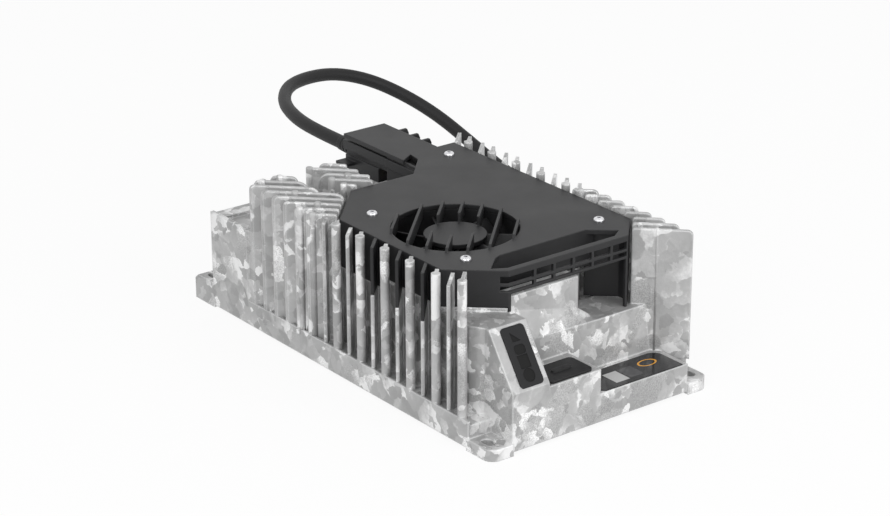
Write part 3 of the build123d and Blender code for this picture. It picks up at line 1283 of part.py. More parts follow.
# Direct current outlet through the rear wall
outlet_plane = Plane((-half_length, outlet_y, outlet_z), x_dir=(0, -1, 0), z_dir=(-1, 0, 0))
with BuildPart() as output_socket:
    with BuildSketch(outlet_plane):
        RectangleRounded(outlet_flange, outlet_flange, 4.0)
        with GridLocations(outlet_screw_pitch, outlet_screw_pitch, 2, 2):
            Circle(outlet_screw_shank / 2 + 0.2, mode=Mode.SUBTRACT)
    extrude(amount=outlet_flange_thickness)
    with BuildSketch(outlet_plane.offset(outlet_flange_thickness)):
        Circle(outlet_shroud / 2)
    extrude(amount=outlet_shroud_length)
    with BuildSketch(outlet_plane):
        Circle(outlet_hole / 2 - seat_clearance)
    extrude(amount=-outlet_barrel)
    with BuildSketch(outlet_plane.offset(outlet_flange_thickness + outlet_shroud_length)):
        Circle(outlet_shroud / 2 - 2.0)
    extrude(amount=-outlet_shroud_length, mode=Mode.SUBTRACT)
    with BuildSketch(outlet_plane.offset(outlet_flange_thickness)):
        with Locations((-outlet_pin_spacing / 2, 0), (outlet_pin_spacing / 2, 0)):
            Circle(outlet_pin / 2 + 0.05)
    extrude(amount=-outlet_flange_thickness - outlet_barrel, mode=Mode.SUBTRACT)
output_socket.part.label = "output_socket"
export_step(output_socket.part, "parts/output_socket.step")

with BuildPart() as output_pins:
    with BuildSketch(outlet_plane.offset(outlet_flange_thickness + outlet_shroud_length - 3.0)):
        with Locations((-outlet_pin_spacing / 2, 0), (outlet_pin_spacing / 2, 0)):
            Circle(outlet_pin / 2)
    extrude(amount=-outlet_flange_thickness - outlet_shroud_length - outlet_barrel - 2.0)
output_pins.part.label = "output_pins"
export_step(output_pins.part, "parts/output_pins.step")

with BuildPart() as output_screws:
    with BuildSketch(outlet_plane.offset(outlet_flange_thickness)):
        with GridLocations(outlet_screw_pitch, outlet_screw_pitch, 2, 2):
            Circle(outlet_screw_head / 2)
    extrude(amount=2.0)
    with BuildSketch(outlet_plane.offset(outlet_flange_thickness + 0.5)):
        with GridLocations(outlet_screw_pitch, outlet_screw_pitch, 2, 2):
            Circle(outlet_screw_shank / 2)
    extrude(amount=-outlet_screw_length)
output_screws.part.label = "output_screws"
export_step(output_screws.part, "parts/output_screws.step")

# Lead of the fan: from the frame, along a fin lane, down to its grommet in the core
with BuildPart() as lead_grommet:
    with BuildSketch(Plane.XY.offset(core_top)):
        with Locations((lead_x, lead_y)):
            Circle(grommet_diameter / 2)
    extrude(amount=grommet_lip)
    with BuildSketch(Plane.XY.offset(core_top)):
        with Locations((lead_x, lead_y)):
            Circle(grommet_hole / 2 - seat_clearance)
    extrude(amount=-(core_top - bay_roof + 1.0))
    with BuildSketch(Plane.XY.offset(core_top + grommet_lip)):
        with Locations((lead_x, lead_y)):
            Circle(lead_diameter / 2 + seat_clearance)
    extrude(amount=-20.0, mode=Mode.SUBTRACT)
lead_grommet.part.label = "lead_grommet"
export_step(lead_grommet.part, "parts/lead_grommet.step")

with BuildPart() as fan_lead:
    with BuildLine():
        FilletPolyline((lead_start_x, lead_start_y, lead_z), (lead_x, lead_y, lead_z),
                       (lead_x, lead_y, board_top + seat_gap), radius=lead_bend)
    with BuildSketch(Plane((lead_start_x, lead_start_y, lead_z), z_dir=(lead_x - lead_start_x, lead_y - lead_start_y, 0))):
        Circle(lead_diameter / 2)
    sweep()
fan_lead.part.label = "fan_lead"
export_step(fan_lead.part, "parts/fan_lead.step")

# Cord: level out of its relief, round in a wide bend, and down to the floor behind the case
lead_in = (connector_rear_x - relief_length, cord_y, cord_z)
coil_width = 2 * cord_diameter - coil_sink
coil_outer_y = coil_y + coil_diameter / 2 + cord_diameter / 2
coil_inner_y = coil_y - coil_diameter / 2 - cord_diameter / 2
cord_route = [
    lead_in,
    (-206.0, cord_y, cord_z),
    (-243.0, 45.5, 89.0),
    (-282.3, 59.3, 88.8),
    (-315.0, 84.8, 88.2),
    (-328.4, 113.0, 87.0),
    (-331.5, 143.0, 84.0),
    (-324.0, 172.0, 75.0),
    (-308.0, 196.0, 61.0),
    (-285.0, 213.5, 45.5),
    (-256.0, 223.0, 29.5),
    (-224.0, 228.0, 16.0),
    (-190.0, 230.6, 7.5),
    (-160.0, coil_outer_y, cord_diameter / 2),
    (coil_x - coil_tail, coil_outer_y, cord_diameter / 2),
]
cord_bends = []
for before, here, after in zip(cord_route[:-2], cord_route[1:-1], cord_route[2:]):
    run_in = Vector(*here) - Vector(*before)
    run_out = Vector(*after) - Vector(*here)
    half_turn = math.radians(run_in.get_angle(run_out)) / 2
    cord_bends.append(0.45 * min(run_in.length, run_out.length) / math.tan(half_turn))
print("cord bends", [round(bend, 1) for bend in cord_bends])
with BuildPart() as cord_tube:
    with BuildLine() as cord_path:
        FilletPolyline(*cord_route, radius=cord_bends)
    with BuildSketch(Plane(lead_in, z_dir=Vector(*cord_route[1]) - Vector(*lead_in))):
        Circle(cord_diameter / 2)
    sweep()
tube_length = sum(edge.length for edge in cord_path.line.edges())
coil_length = coil_turns * math.pi * coil_diameter
tube_section = math.pi * (cord_diameter / 2) ** 2
print("tube length", round(tube_length, 1), "volume ratio", round(cord_tube.part.volume / tube_length / tube_section, 4))
print("whole cord", round(relief_length + tube_length + coil_length + 2 * coil_tail, 1))
cord_tube.part.label = "cord_tube"
export_step(cord_tube.part, "parts/cord_tube.step")

with BuildPart() as cord_coil:
    with BuildSketch(Plane.XZ.offset(-coil_y)):
        with Locations((coil_x + coil_diameter / 2, cord_diameter)):
            RectangleRounded(coil_width, coil_width, coil_corner)
    revolve(axis=Axis((coil_x, coil_y, 0), (0, 0, 1)))
    with BuildSketch(Plane.YZ.offset(coil_x - coil_tail)):
        with Locations((coil_outer_y, cord_diameter / 2)):
            Circle(cord_diameter / 2)
    extrude(amount=coil_tail)
    with BuildSketch(Plane.YZ.offset(coil_x - coil_tail)):
        with Locations((coil_inner_y, 1.5 * cord_diameter)):
            Circle(cord_diameter / 2)
    extrude(amount=coil_tail)
cord_coil.part.label = "cord_coil"
export_step(cord_coil.part, "parts/cord_coil.step")

plug_plane = Plane((coil_x - coil_tail, coil_inner_y, 1.5 * cord_diameter), x_dir=(0, 0, 1), z_dir=(-1, 0, 0))
with BuildPart() as cord_plug:
    with BuildSketch(plug_plane):
        Circle(cord_diameter / 2 + 1.0)
    with BuildSketch(plug_plane.offset(plug_neck)):
        Circle(cord_diameter / 2 + 2.5)
    loft()
    with BuildSketch(plug_plane.offset(plug_neck)):
        Circle(plug_diameter / 2)
        with PolarLocations(plug_diameter / 2 + 1.5, 8, start_angle=22.5):
            Circle(2.5, mode=Mode.SUBTRACT)
    extrude(amount=plug_length - plug_neck - 8.0)
    with BuildSketch(plug_plane.offset(plug_length - 8.0)):
        Circle(plug_diameter / 2)
    extrude(amount=8.0)
cord_plug.part.label = "cord_plug"
export_step(cord_plug.part, "parts/cord_plug.step")

with BuildPart() as plug_pins:
    with BuildSketch(plug_plane.offset(plug_length)):
        with Locations((0, -plug_pin_spacing / 2), (0, plug_pin_spacing / 2)):
            Circle(plug_pin / 2)
    extrude(amount=plug_pin_length)
plug_pins.part.label = "plug_pins"
export_step(plug_pins.part, "parts/plug_pins.step")
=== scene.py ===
"""Fast battery charger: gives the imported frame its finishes, its cord and its small surface parts."""
import json
import math

import bpy
import numpy as np
from mathutils import Matrix, Vector


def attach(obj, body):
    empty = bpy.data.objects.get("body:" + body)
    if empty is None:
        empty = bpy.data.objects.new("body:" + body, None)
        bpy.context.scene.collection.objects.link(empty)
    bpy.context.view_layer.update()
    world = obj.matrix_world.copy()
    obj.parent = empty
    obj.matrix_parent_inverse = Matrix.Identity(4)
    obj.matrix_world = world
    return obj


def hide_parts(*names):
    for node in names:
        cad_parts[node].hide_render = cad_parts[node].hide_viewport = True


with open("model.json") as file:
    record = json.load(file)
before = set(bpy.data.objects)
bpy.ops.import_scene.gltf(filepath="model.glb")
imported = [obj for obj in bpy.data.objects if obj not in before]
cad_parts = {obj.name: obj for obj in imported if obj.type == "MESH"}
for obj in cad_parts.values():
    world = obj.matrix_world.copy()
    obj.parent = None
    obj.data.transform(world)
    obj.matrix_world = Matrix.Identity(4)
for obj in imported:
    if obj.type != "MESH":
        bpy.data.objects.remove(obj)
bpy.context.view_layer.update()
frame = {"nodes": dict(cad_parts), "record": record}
nodes = frame["nodes"]
scene = bpy.context.scene

# Camera at the photograph's viewing angle
CAMERA_PLACE = Vector((1.3506, -1.0340, 0.7543))
CAMERA_AZIMUTH = math.radians(52.4994)
CAMERA_ELEVATION = math.radians(22.1232)
CAMERA_ROLL = math.radians(0.1531)
IMAGE_WIDTH = 890
FOCAL_PIXELS = 2633.6
SENSOR_WIDTH = 36.0
CLIP_END = 50.0


def make_camera():
    """Camera that looks along its azimuth and elevation, with its right side lowered by the roll."""
    forward = Vector((
        -math.sin(CAMERA_AZIMUTH) * math.cos(CAMERA_ELEVATION),
        math.cos(CAMERA_AZIMUTH) * math.cos(CAMERA_ELEVATION),
        -math.sin(CAMERA_ELEVATION),
    ))
    level = Vector((math.cos(CAMERA_AZIMUTH), math.sin(CAMERA_AZIMUTH), 0.0))
    down = forward.cross(level)
    right = level * math.cos(CAMERA_ROLL) + down * math.sin(CAMERA_ROLL)
    lowered = down * math.cos(CAMERA_ROLL) - level * math.sin(CAMERA_ROLL)
    data = bpy.data.cameras.new("camera")
    data.sensor_width = SENSOR_WIDTH
    data.lens = FOCAL_PIXELS * SENSOR_WIDTH / IMAGE_WIDTH
    data.clip_end = CLIP_END
    camera = bpy.data.objects.new("camera", data)
    turn = Matrix((right, -lowered, -forward)).transposed().to_4x4()
    camera.matrix_world = Matrix.Translation(CAMERA_PLACE) @ turn
    scene.collection.objects.link(camera)
    scene.camera = camera


make_camera()

# Cord: the route's points, in metres, and its coil behind the case
CORD_DIAMETER = 0.0104
RELIEF_END = (-0.1780, 0.0420, 0.0890)
CORD_ROUTE = [
    RELIEF_END,
    (-0.2060, 0.0420, 0.0890),
    (-0.2430, 0.0455, 0.0890),
    (-0.2823, 0.0593, 0.0888),
    (-0.3150, 0.0848, 0.0882),
    (-0.3284, 0.1130, 0.0870),
    (-0.3315, 0.1430, 0.0840),
    (-0.3240, 0.1720, 0.0750),
    (-0.3080, 0.1960, 0.0610),
    (-0.2850, 0.2135, 0.0455),
    (-0.2560, 0.2230, 0.0295),
    (-0.2240, 0.2280, 0.0160),
    (-0.1900, 0.2306, 0.0075),
    (-0.1600, 0.2322, 0.0052),
    (-0.1300, 0.2322, 0.0052),
    (-0.1100, 0.2322, 0.0052),
]
COIL_CENTRE = (-0.0900, 0.1720)
COIL_MEAN_RADIUS = 0.0550
COIL_TURNS = 2.5
COIL_POINTS_A_TURN = 24
COIL_TAIL = 0.0400
TAIL_SHARES = (0.33, 0.66, 1.0)
CORD_SLACK = 0.0005
CLIMB_POWER = 0.8


def coil_points():
    """Points of the coil, clockwise from above.

    The first turn winds in by one diameter on the floor. The second climbs by one diameter at the inner
    radius, as it rolls up on the first, and a climb power under 1 makes it rise sooner. The last half turn
    winds out by one diameter on top.
    """
    outer = COIL_MEAN_RADIUS + CORD_DIAMETER / 2
    inner = COIL_MEAN_RADIUS - CORD_DIAMETER / 2
    low = CORD_DIAMETER / 2
    step = CORD_DIAMETER + CORD_SLACK
    turns = np.linspace(0.0, COIL_TURNS, int(COIL_TURNS * COIL_POINTS_A_TURN) + 1)
    first = np.clip(turns, 0.0, 1.0)
    second = np.clip(turns - 1.0, 0.0, 1.0)
    third = np.clip(turns - 2.0, 0.0, 0.5) * 2.0
    radius = outer - (outer - inner) * first + (outer - inner) * np.sin(third * math.pi / 2)
    height = low + step * np.sin(second * math.pi / 2) ** CLIMB_POWER
    angle = math.pi / 2 - turns * 2.0 * math.pi
    x = COIL_CENTRE[0] + radius * np.cos(angle)
    y = COIL_CENTRE[1] + radius * np.sin(angle)
    return [tuple(map(float, point)) for point in zip(x, y, height)]


def make_cord():
    """Round cord along one smooth NURBS line: the route, the coil and the straight end at the plug.

    The points carry the cord's radius and the bevel is one metre, so that the curve's own box is the cord's.
    """
    coil = coil_points()
    x, y, z = coil[-1]
    points = CORD_ROUTE + coil + [(x - COIL_TAIL * share, y, z) for share in TAIL_SHARES]
    curve = bpy.data.curves.new("mains_cord", "CURVE")
    curve.dimensions = "3D"
    curve.bevel_depth = 1.0
    curve.bevel_resolution = 6
    curve.resolution_u = 5
    curve.use_fill_caps = True
    spline = curve.splines.new("NURBS")
    spline.points.add(len(points) - 1)
    spline.points.foreach_set("co", np.array([(*point, 1.0) for point in points]).ravel())
    spline.points.foreach_set("radius", np.full(len(points), CORD_DIAMETER / 2))
    spline.order_u = 3
    spline.use_endpoint_u = True
    cord = bpy.data.objects.new("mains_cord", curve)
    scene.collection.objects.link(cord)
    return cord


cord = make_cord()
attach(cord, "case")
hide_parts("cord_tube", "cord_coil")


# Node trees: the middle of a noise colour, the range that most of a noise stays in, and the share of a cell
# that its soft border takes
MIDDLE = (0.5, 0.5, 0.5)
NOISE_RANGE = (0.3, 0.7)
CELL_BORDER = 0.16


class Graph:
    """Node tree of a material or a group, with short calls that add nodes and join their sockets."""

    def __init__(self, tree):
        self.tree = tree

    def add(self, kind, inputs=None, **settings):
        """Adds a node, sets its properties, and gives each named input a value or another node's output."""
        node = self.tree.nodes.new(kind)
        for name, value in settings.items():
            setattr(node, name, value)
        for name, value in (inputs or {}).items():
            self.join(node.inputs[name], value)
        return node

    def join(self, socket, value):
        """Links an output to the socket, or sets the socket's own value."""
        if isinstance(value, bpy.types.NodeSocket):
            self.tree.links.new(value, socket)
        else:
            socket.default_value = value

    def maths(self, operation, first, second=0.0, clamp=False):
        """Output of a Math node."""
        node = self.add("ShaderNodeMath", {0: first, 1: second}, operation=operation, use_clamp=clamp)
        return node.outputs[0]

    def vector(self, operation, first, second):
        """Output of a Vector Math node."""
        return self.add("ShaderNodeVectorMath", {0: first, 1: second}, operation=operation).outputs["Vector"]

    def dot(self, first, second):
        """Value output of a Vector Math node that takes the dot product."""
        node = self.add("ShaderNodeVectorMath", {0: first, 1: second}, operation="DOT_PRODUCT")
        return node.outputs["Value"]

    def scaled(self, first, amount):
        """Vector output of a Vector Math node that multiplies a vector by a number."""
        node = self.add("ShaderNodeVectorMath", {0: first}, operation="SCALE")
        self.join(node.inputs["Scale"], amount)
        return node.outputs["Vector"]

    def mix(self, factor, first, second, blend="MIX"):
        """Colour output of a Mix node."""
        node = self.add("ShaderNodeMix", data_type="RGBA", blend_type=blend)
        self.join(node.inputs[0], factor)
        self.join(node.inputs[6], first)
        self.join(node.inputs[7], second)
        return node.outputs[2]

    def blend(self, factor, first, second):
        """Value output of a Mix node."""
        node = self.add("ShaderNodeMix", data_type="FLOAT")
        self.join(node.inputs[0], factor)
        self.join(node.inputs[2], first)
        self.join(node.inputs[3], second)
        return node.outputs[0]

    def span(self, value, low, high, to_low=0.0, to_high=1.0):
        """Map Range output: low becomes to_low and high becomes to_high, held beyond them."""
        node = self.add("ShaderNodeMapRange", {
            "Value": value, "From Min": low, "From Max": high, "To Min": to_low, "To Max": to_high,
        })
        return node.outputs["Result"]

    def ramp(self, value, stops):
        """Colour Ramp output through (position, grey or colour) stops."""
        node = self.add("ShaderNodeValToRGB", {0: value})
        elements = node.color_ramp.elements
        while len(elements) < len(stops):
            elements.new(0.5)
        for element, (position, colour) in zip(elements, stops):
            element.position = position
            element.color = colour if isinstance(colour, tuple) else (colour, colour, colour, 1.0)
        return node.outputs["Color"]

    def stretched(self, place, scale):
        """Coordinates scaled along each axis."""
        return self.add("ShaderNodeMapping", {"Vector": place, "Scale": scale}).outputs["Vector"]

    def noise(self, place, scale, detail=2.0, roughness=0.5, output="Fac"):
        """Output of a Noise Texture."""
        node = self.add("ShaderNodeTexNoise", {
            "Vector": place, "Scale": scale, "Detail": detail, "Roughness": roughness,
        })
        return node.outputs[output]

    def bump(self, height, strength, depth):
        """Normal output of a Bump node."""
        node = self.add("ShaderNodeBump", {"Height": height, "Strength": strength, "Distance": depth})
        return node.outputs["Normal"]

    def soft_cells(self, place, scale):
        """Voronoi Texture whose cells run into each other over a narrow border."""
        return self.add("ShaderNodeTexVoronoi", {
            "Vector": place, "Scale": scale, "Smoothness": CELL_BORDER,
        }, feature="SMOOTH_F1")


def new_group(name, inputs, outputs):
    """Node group with named sockets: returns its graph, what it is given, and the sockets of its results."""
    tree = bpy.data.node_groups.new(name, "ShaderNodeTree")
    for label, kind, default in inputs:
        socket = tree.interface.new_socket(label, in_out="INPUT", socket_type="NodeSocket" + kind)
        if default is not None:
            socket.default_value = default
    for label, kind in outputs:
        tree.interface.new_socket(label, in_out="OUTPUT", socket_type="NodeSocket" + kind)
    graph = Graph(tree)
    source = graph.add("NodeGroupInput")
    sink = graph.add("NodeGroupOutput")
    return graph, source.outputs, sink.inputs


# Crystal patches: cells in a metre, how far their borders wander and the share of fine waves in that, how
# many small cells go beside one large cell and the shift that sets their pattern apart, how strongly a cell
# fades from one side to the other, and how the streaks are drawn out
CELLS_A_METRE = 62.0
BORDER_WAVE = 0.016
FINE_WAVE_SHARE = 0.34
SMALL_CELL_RATIO = 2.1
SMALL_CELL_SHIFT = (0.31, 0.17, 0.53)
CELL_FADE = 60.0
STREAK_STRETCH = (1.0, 1.0, 0.42)

# Crystal patches: scales of their noises
WAVE_SCALE = 48.0
FINE_WAVE_SCALE = 210.0
CLOUD_SCALE = 24.0
STREAK_SCALE = 75.0
MOTTLE_SCALE = 340.0
SPECKLE_SCALE = 1100.0

# Crystal patches: how far clouds, streaks and mottle move the tone, the values between which small cells,
# streaks and speckled patches come in, and how strong speckle is and the part of its noise that it keeps
CLOUD_TONE = 0.12
STREAK_TONE = 0.30
MOTTLE_TONE = 0.07
SMALL_CELLS_FROM = (0.60, 0.64)
STREAKS_FROM = (0.60, 0.66)
SPECKLE_FROM = (0.74, 0.76)
SPECKLE_SHARE = 0.8
SPECKLE_RANGE = (0.38, 0.62)


def make_spangle_group():
    """Crystal patches of a bare casting: cells with wavy borders in two sizes, each with a tone of its own.

    Each cell fades from one of its sides to the other, along a direction of its own, and long pale streaks
    cross some of them. Speckle is a fine salt and pepper grain, kept to a few patches.
    """
    graph, given, result = new_group(
        "casting spangle",
        [
            ("Vector", "Vector", None),
            ("Cell Scale", "Float", CELLS_A_METRE),
            ("Waviness", "Float", BORDER_WAVE),
        ],
        [("Tone", "Float"), ("Speckle", "Float")],
    )
    place = given["Vector"]
    waves = graph.noise(place, WAVE_SCALE, output="Color")
    fine_waves = graph.noise(place, FINE_WAVE_SCALE, detail=3.0, roughness=0.6, output="Color")
    fine_waviness = graph.maths("MULTIPLY", given["Waviness"], FINE_WAVE_SHARE)
    bent = place
    for wave, reach in ((waves, given["Waviness"]), (fine_waves, fine_waviness)):
        bent = graph.vector("ADD", bent, graph.scaled(graph.vector("SUBTRACT", wave, MIDDLE), reach))
    large = graph.soft_cells(bent, given["Cell Scale"])
    small_place = graph.vector("ADD", bent, SMALL_CELL_SHIFT)
    small = graph.soft_cells(small_place, graph.maths("MULTIPLY", given["Cell Scale"], SMALL_CELL_RATIO))
    tones = []
    for cells, centre_of in ((large, bent), (small, small_place)):
        parts = graph.add("ShaderNodeSeparateColor", {"Color": cells.outputs["Color"]}).outputs
        reach = graph.vector("SUBTRACT", centre_of, cells.outputs["Position"])
        lean = graph.vector("SUBTRACT", cells.outputs["Color"], MIDDLE)
        fade = graph.maths("MULTIPLY", graph.dot(reach, lean), CELL_FADE)
        tones.append((parts, graph.maths("ADD", parts["Red"], fade)))
    (large_parts, large_tone), (small_parts, small_tone) = tones
    tone = graph.blend(graph.span(small_parts["Green"], *SMALL_CELLS_FROM), large_tone, small_tone)
    cloud = graph.noise(place, CLOUD_SCALE, detail=3.0, roughness=0.55)
    cloud = graph.span(cloud, *NOISE_RANGE, -CLOUD_TONE, CLOUD_TONE)
    streak = graph.noise(graph.stretched(bent, STREAK_STRETCH), STREAK_SCALE)
    streak = graph.span(streak, *STREAKS_FROM, 0.0, STREAK_TONE)
    mottle = graph.noise(place, MOTTLE_SCALE, detail=3.0, roughness=0.7)
    mottle = graph.span(mottle, *NOISE_RANGE, -MOTTLE_TONE, MOTTLE_TONE)
    tone = graph.maths("ADD", graph.maths("ADD", tone, cloud), graph.maths("ADD", streak, mottle), clamp=True)
    grain = graph.noise(place, SPECKLE_SCALE, roughness=0.7)
    patch = graph.maths("MULTIPLY", graph.span(large_parts["Blue"], *SPECKLE_FROM), SPECKLE_SHARE)
    speckle = graph.blend(patch, 0.5, graph.span(grain, *SPECKLE_RANGE))
    graph.join(result["Tone"], tone)
    graph.join(result["Speckle"], speckle)
    return graph.tree


# Grain of mouldings: its usual scale and strength, how many fine bumps go beside a coarse one, their share of
# the height, and the scale of the clouds
GRAIN_SCALE = 900.0
GRAIN_STRENGTH = 0.25
FINE_GRAIN_RATIO = 2.7
FINE_GRAIN_SHARE = 0.35
GRAIN_CLOUD_SCALE = 22.0


def make_grain_group():
    """Fine grain of a moulded surface: small bumps of two sizes, as a height, and broad clouds."""
    graph, given, result = new_group(
        "moulded grain",
        [("Vector", "Vector", None), ("Grain Scale", "Float", GRAIN_SCALE)],
        [("Height", "Float"), ("Cloud", "Float")],
    )
    place = given["Vector"]
    coarse = graph.noise(place, given["Grain Scale"], roughness=0.6)
    fine_scale = graph.maths("MULTIPLY", given["Grain Scale"], FINE_GRAIN_RATIO)
    fine = graph.noise(place, fine_scale, detail=1.0)
    graph.join(result["Height"], graph.blend(FINE_GRAIN_SHARE, coarse, fine))
    graph.join(result["Cloud"], graph.noise(place, GRAIN_CLOUD_SCALE, detail=3.0, roughness=0.6))
    return graph.tree


# Rounded edges: usual radius, samples taken of each, and the cosine of the turn at which the mask is 1
EDGE_RADIUS = 0.0012
EDGE_SAMPLES = 6
EDGE_COSINE = 0.82


def make_edge_group():
    """Rounded edges: a normal that turns over each edge, and a mask that is 1 along it."""
    graph, given, result = new_group(
        "rounded edge",
        [("Bump Normal", "Vector", None), ("Radius", "Float", EDGE_RADIUS)],
        [("Normal", "Vector"), ("Edge", "Float")],
    )
    radius = given["Radius"]
    rough = {"Radius": radius, "Normal": given["Bump Normal"]}
    bevel = graph.add("ShaderNodeBevel", rough, samples=EDGE_SAMPLES)
    plain = graph.add("ShaderNodeBevel", {"Radius": radius}, samples=EDGE_SAMPLES)
    flat = graph.add("ShaderNodeNewGeometry")
    turn = graph.dot(plain.outputs[0], flat.outputs["Normal"])
    graph.join(result["Normal"], bevel.outputs[0])
    graph.join(result["Edge"], graph.span(turn, 1.0, EDGE_COSINE))
    return graph.tree


SPANGLE = make_spangle_group()
GRAIN = make_grain_group()
EDGE = make_edge_group()


def new_material(name, **plain):
    """Material with a Principled shader: returns it, its graph and the shader.

    plain gives values of the shader's own sockets, with an underscore for each space in a socket's name.
    """
    material = bpy.data.materials.new(name)
    material.use_nodes = True
    tree = material.node_tree
    tree.nodes.clear()
    graph = Graph(tree)
    shader = graph.add("ShaderNodeBsdfPrincipled")
    for socket, value in plain.items():
        shader.inputs[socket.replace("_", " ")].default_value = value
    output = graph.add("ShaderNodeOutputMaterial")
    tree.links.new(shader.outputs[0], output.inputs["Surface"])
    return material, graph, shader


def object_place(graph):
    """Object coordinates."""
    return graph.add("ShaderNodeTexCoord").outputs["Object"]


def place_group(graph, tree, inputs):
    """Puts a node group in the tree, feeds its named inputs and returns its outputs."""
    return graph.add("ShaderNodeGroup", node_tree=tree, inputs=inputs).outputs


def tint(colour, share=1.0):
    """A colour times a share, as the four numbers that a colour socket takes."""
    return tuple(share * part for part in colour) + (1.0,)


# Bare casting: tones of its patches from dark to light, the roughness of the darkest and of the lightest,
# what speckle multiplies a tone by, and the radius of its edges, the paler colour of the highlight painted
# on them and its share
CASTING_TONES = [
    (0.0, 0.35), (0.30, 0.41), (0.58, 0.46), (0.74, 0.54), (0.85, 0.68), (0.95, 0.78), (1.0, 0.83),
]
CASTING_ROUGHNESS = (0.52, 0.36)
SPECKLE_TONES = (0.72, 1.22)
CASTING_EDGE = 0.0020
CASTING_EDGE_HIGHLIGHT_COLOUR = (0.86, 0.87, 0.87)
CASTING_EDGE_HIGHLIGHT = 0.55

# Bare casting: scales of its ripples and pits, and the share of pits in the bumps
RIPPLE_SCALE = 95.0
PIT_SCALE = 1300.0
PIT_SHARE = 0.18


def casting_finish(name):
    """Bare die casting: crystal patches, speckled in places, and painted highlights on its rounded edges."""
    material, graph, shader = new_material(name, Metallic=0.35)
    place = object_place(graph)
    spangle = place_group(graph, SPANGLE, {"Vector": place})
    colour = graph.ramp(spangle["Tone"], CASTING_TONES)
    speckled = graph.span(spangle["Speckle"], 0.0, 1.0, *SPECKLE_TONES)
    colour = graph.mix(1.0, colour, speckled, "MULTIPLY")
    ripple = graph.noise(place, RIPPLE_SCALE, detail=3.0, roughness=0.6)
    pits = graph.noise(place, PIT_SCALE, roughness=0.6)
    bump = graph.bump(graph.blend(PIT_SHARE, ripple, pits), strength=0.35, depth=0.0016)
    edge = place_group(graph, EDGE, {"Bump Normal": bump, "Radius": CASTING_EDGE})
    # Painted highlight: a paler colour along the rounded edges
    edge_highlight = graph.maths("MULTIPLY", edge["Edge"], CASTING_EDGE_HIGHLIGHT)
    graph.join(shader.inputs["Base Color"], graph.mix(edge_highlight, colour, tint(CASTING_EDGE_HIGHLIGHT_COLOUR)))
    graph.join(shader.inputs["Roughness"], graph.span(spangle["Tone"], 0.0, 1.0, *CASTING_ROUGHNESS))
    graph.join(shader.inputs["Normal"], edge["Normal"])
    return material


# Mouldings: the part of the clouds' noise that moves the colour and the shades that it moves between, how far
# the clouds move the roughness, and the share of the paler colour painted on edges as a highlight
CLOUD_RANGE = (0.35, 0.65)
DARK_SHADE = 0.86
LIGHT_SHADE = 1.14
CLOUD_ROUGHNESS = 0.05
MOULDING_EDGE_HIGHLIGHT = 0.5

# Painted shade on sunk surfaces of a moulding: half the depth over which they turn dark, the colour of the
# shade and their roughness
SUNK_BLUR = 0.00005
SUNK_SHADE_COLOUR = (0.007, 0.007, 0.007)
SUNK_ROUGHNESS = 0.75


def moulding_finish(name, colour, roughness, grain=(GRAIN_SCALE, GRAIN_STRENGTH), gloss=0.5, sunk=None):
    """Moulded plastic or rubber: one colour, faint clouds, a fine grain and painted highlights on its edges.

    grain is a scale and a strength. sunk is a point and a direction: the surface below that plane, within the
    piece's own recesses, is painted darker, as shade.
    """
    material, graph, shader = new_material(name, Specular_IOR_Level=gloss)
    place = object_place(graph)
    grain_scale, grain_strength = grain
    surface = place_group(graph, GRAIN, {"Vector": place, "Grain Scale": grain_scale})
    bump = graph.bump(surface["Height"], strength=grain_strength, depth=0.0003)
    edge = place_group(graph, EDGE, {"Bump Normal": bump})
    # Painted highlight: edges take a paler copy of the colour
    edge_highlight = tint([min(1.0, 2.0 * part + 0.01) for part in colour])
    shade = graph.span(surface["Cloud"], *CLOUD_RANGE)
    base = graph.mix(shade, tint(colour, DARK_SHADE), tint(colour, LIGHT_SHADE))
    base = graph.mix(graph.maths("MULTIPLY", edge["Edge"], MOULDING_EDGE_HIGHLIGHT), base, edge_highlight)
    dull_range = roughness - CLOUD_ROUGHNESS, roughness + CLOUD_ROUGHNESS
    dull = graph.span(surface["Cloud"], *NOISE_RANGE, *dull_range)
    # Painted shade: the recesses below the plane are darkened
    if sunk:
        point, facing = sunk
        above = graph.dot(graph.vector("SUBTRACT", place, point), facing)
        below = graph.span(above, SUNK_BLUR, -SUNK_BLUR)
        base = graph.mix(below, base, tint(SUNK_SHADE_COLOUR))
        dull = graph.blend(below, dull, SUNK_ROUGHNESS)
    graph.join(shader.inputs["Base Color"], base)
    graph.join(shader.inputs["Roughness"], dull)
    graph.join(shader.inputs["Normal"], edge["Normal"])
    return material


# Brushed metal: the scale of its lines, the shade of the darkest, how much duller some are, and the noise as
# it is or drawn out along X
BRUSH_SCALE = 900.0
BRUSH_SHADE = 0.78
BRUSH_ROUGHNESS = 0.12
EVEN = (1.0, 1.0, 1.0)
LENGTHWISE = (0.05, 1.0, 1.0)


def brushed_finish(name, colour, roughness, stretch):
    """Bare metal with fine drawn lines: noise stretched along one axis moves the roughness and the tone."""
    material, graph, shader = new_material(name, Metallic=1.0)
    place = object_place(graph)
    lines = graph.noise(graph.stretched(place, stretch), BRUSH_SCALE, roughness=0.6)
    base = graph.mix(graph.span(lines, *NOISE_RANGE), tint(colour, BRUSH_SHADE), tint(colour))
    dull = graph.span(lines, *NOISE_RANGE, roughness, roughness + BRUSH_ROUGHNESS)
    graph.join(shader.inputs["Base Color"], base)
    graph.join(shader.inputs["Roughness"], dull)
    return material


# Winding: the scale of its wires, the share of the colour kept in the painted shade of the grooves, and the
# roughness of grooves and of crests
WIRE_SCALE = 260.0
GROOVE_SHADE = 0.45
WIRE_ROUGHNESS = (0.5, 0.28)


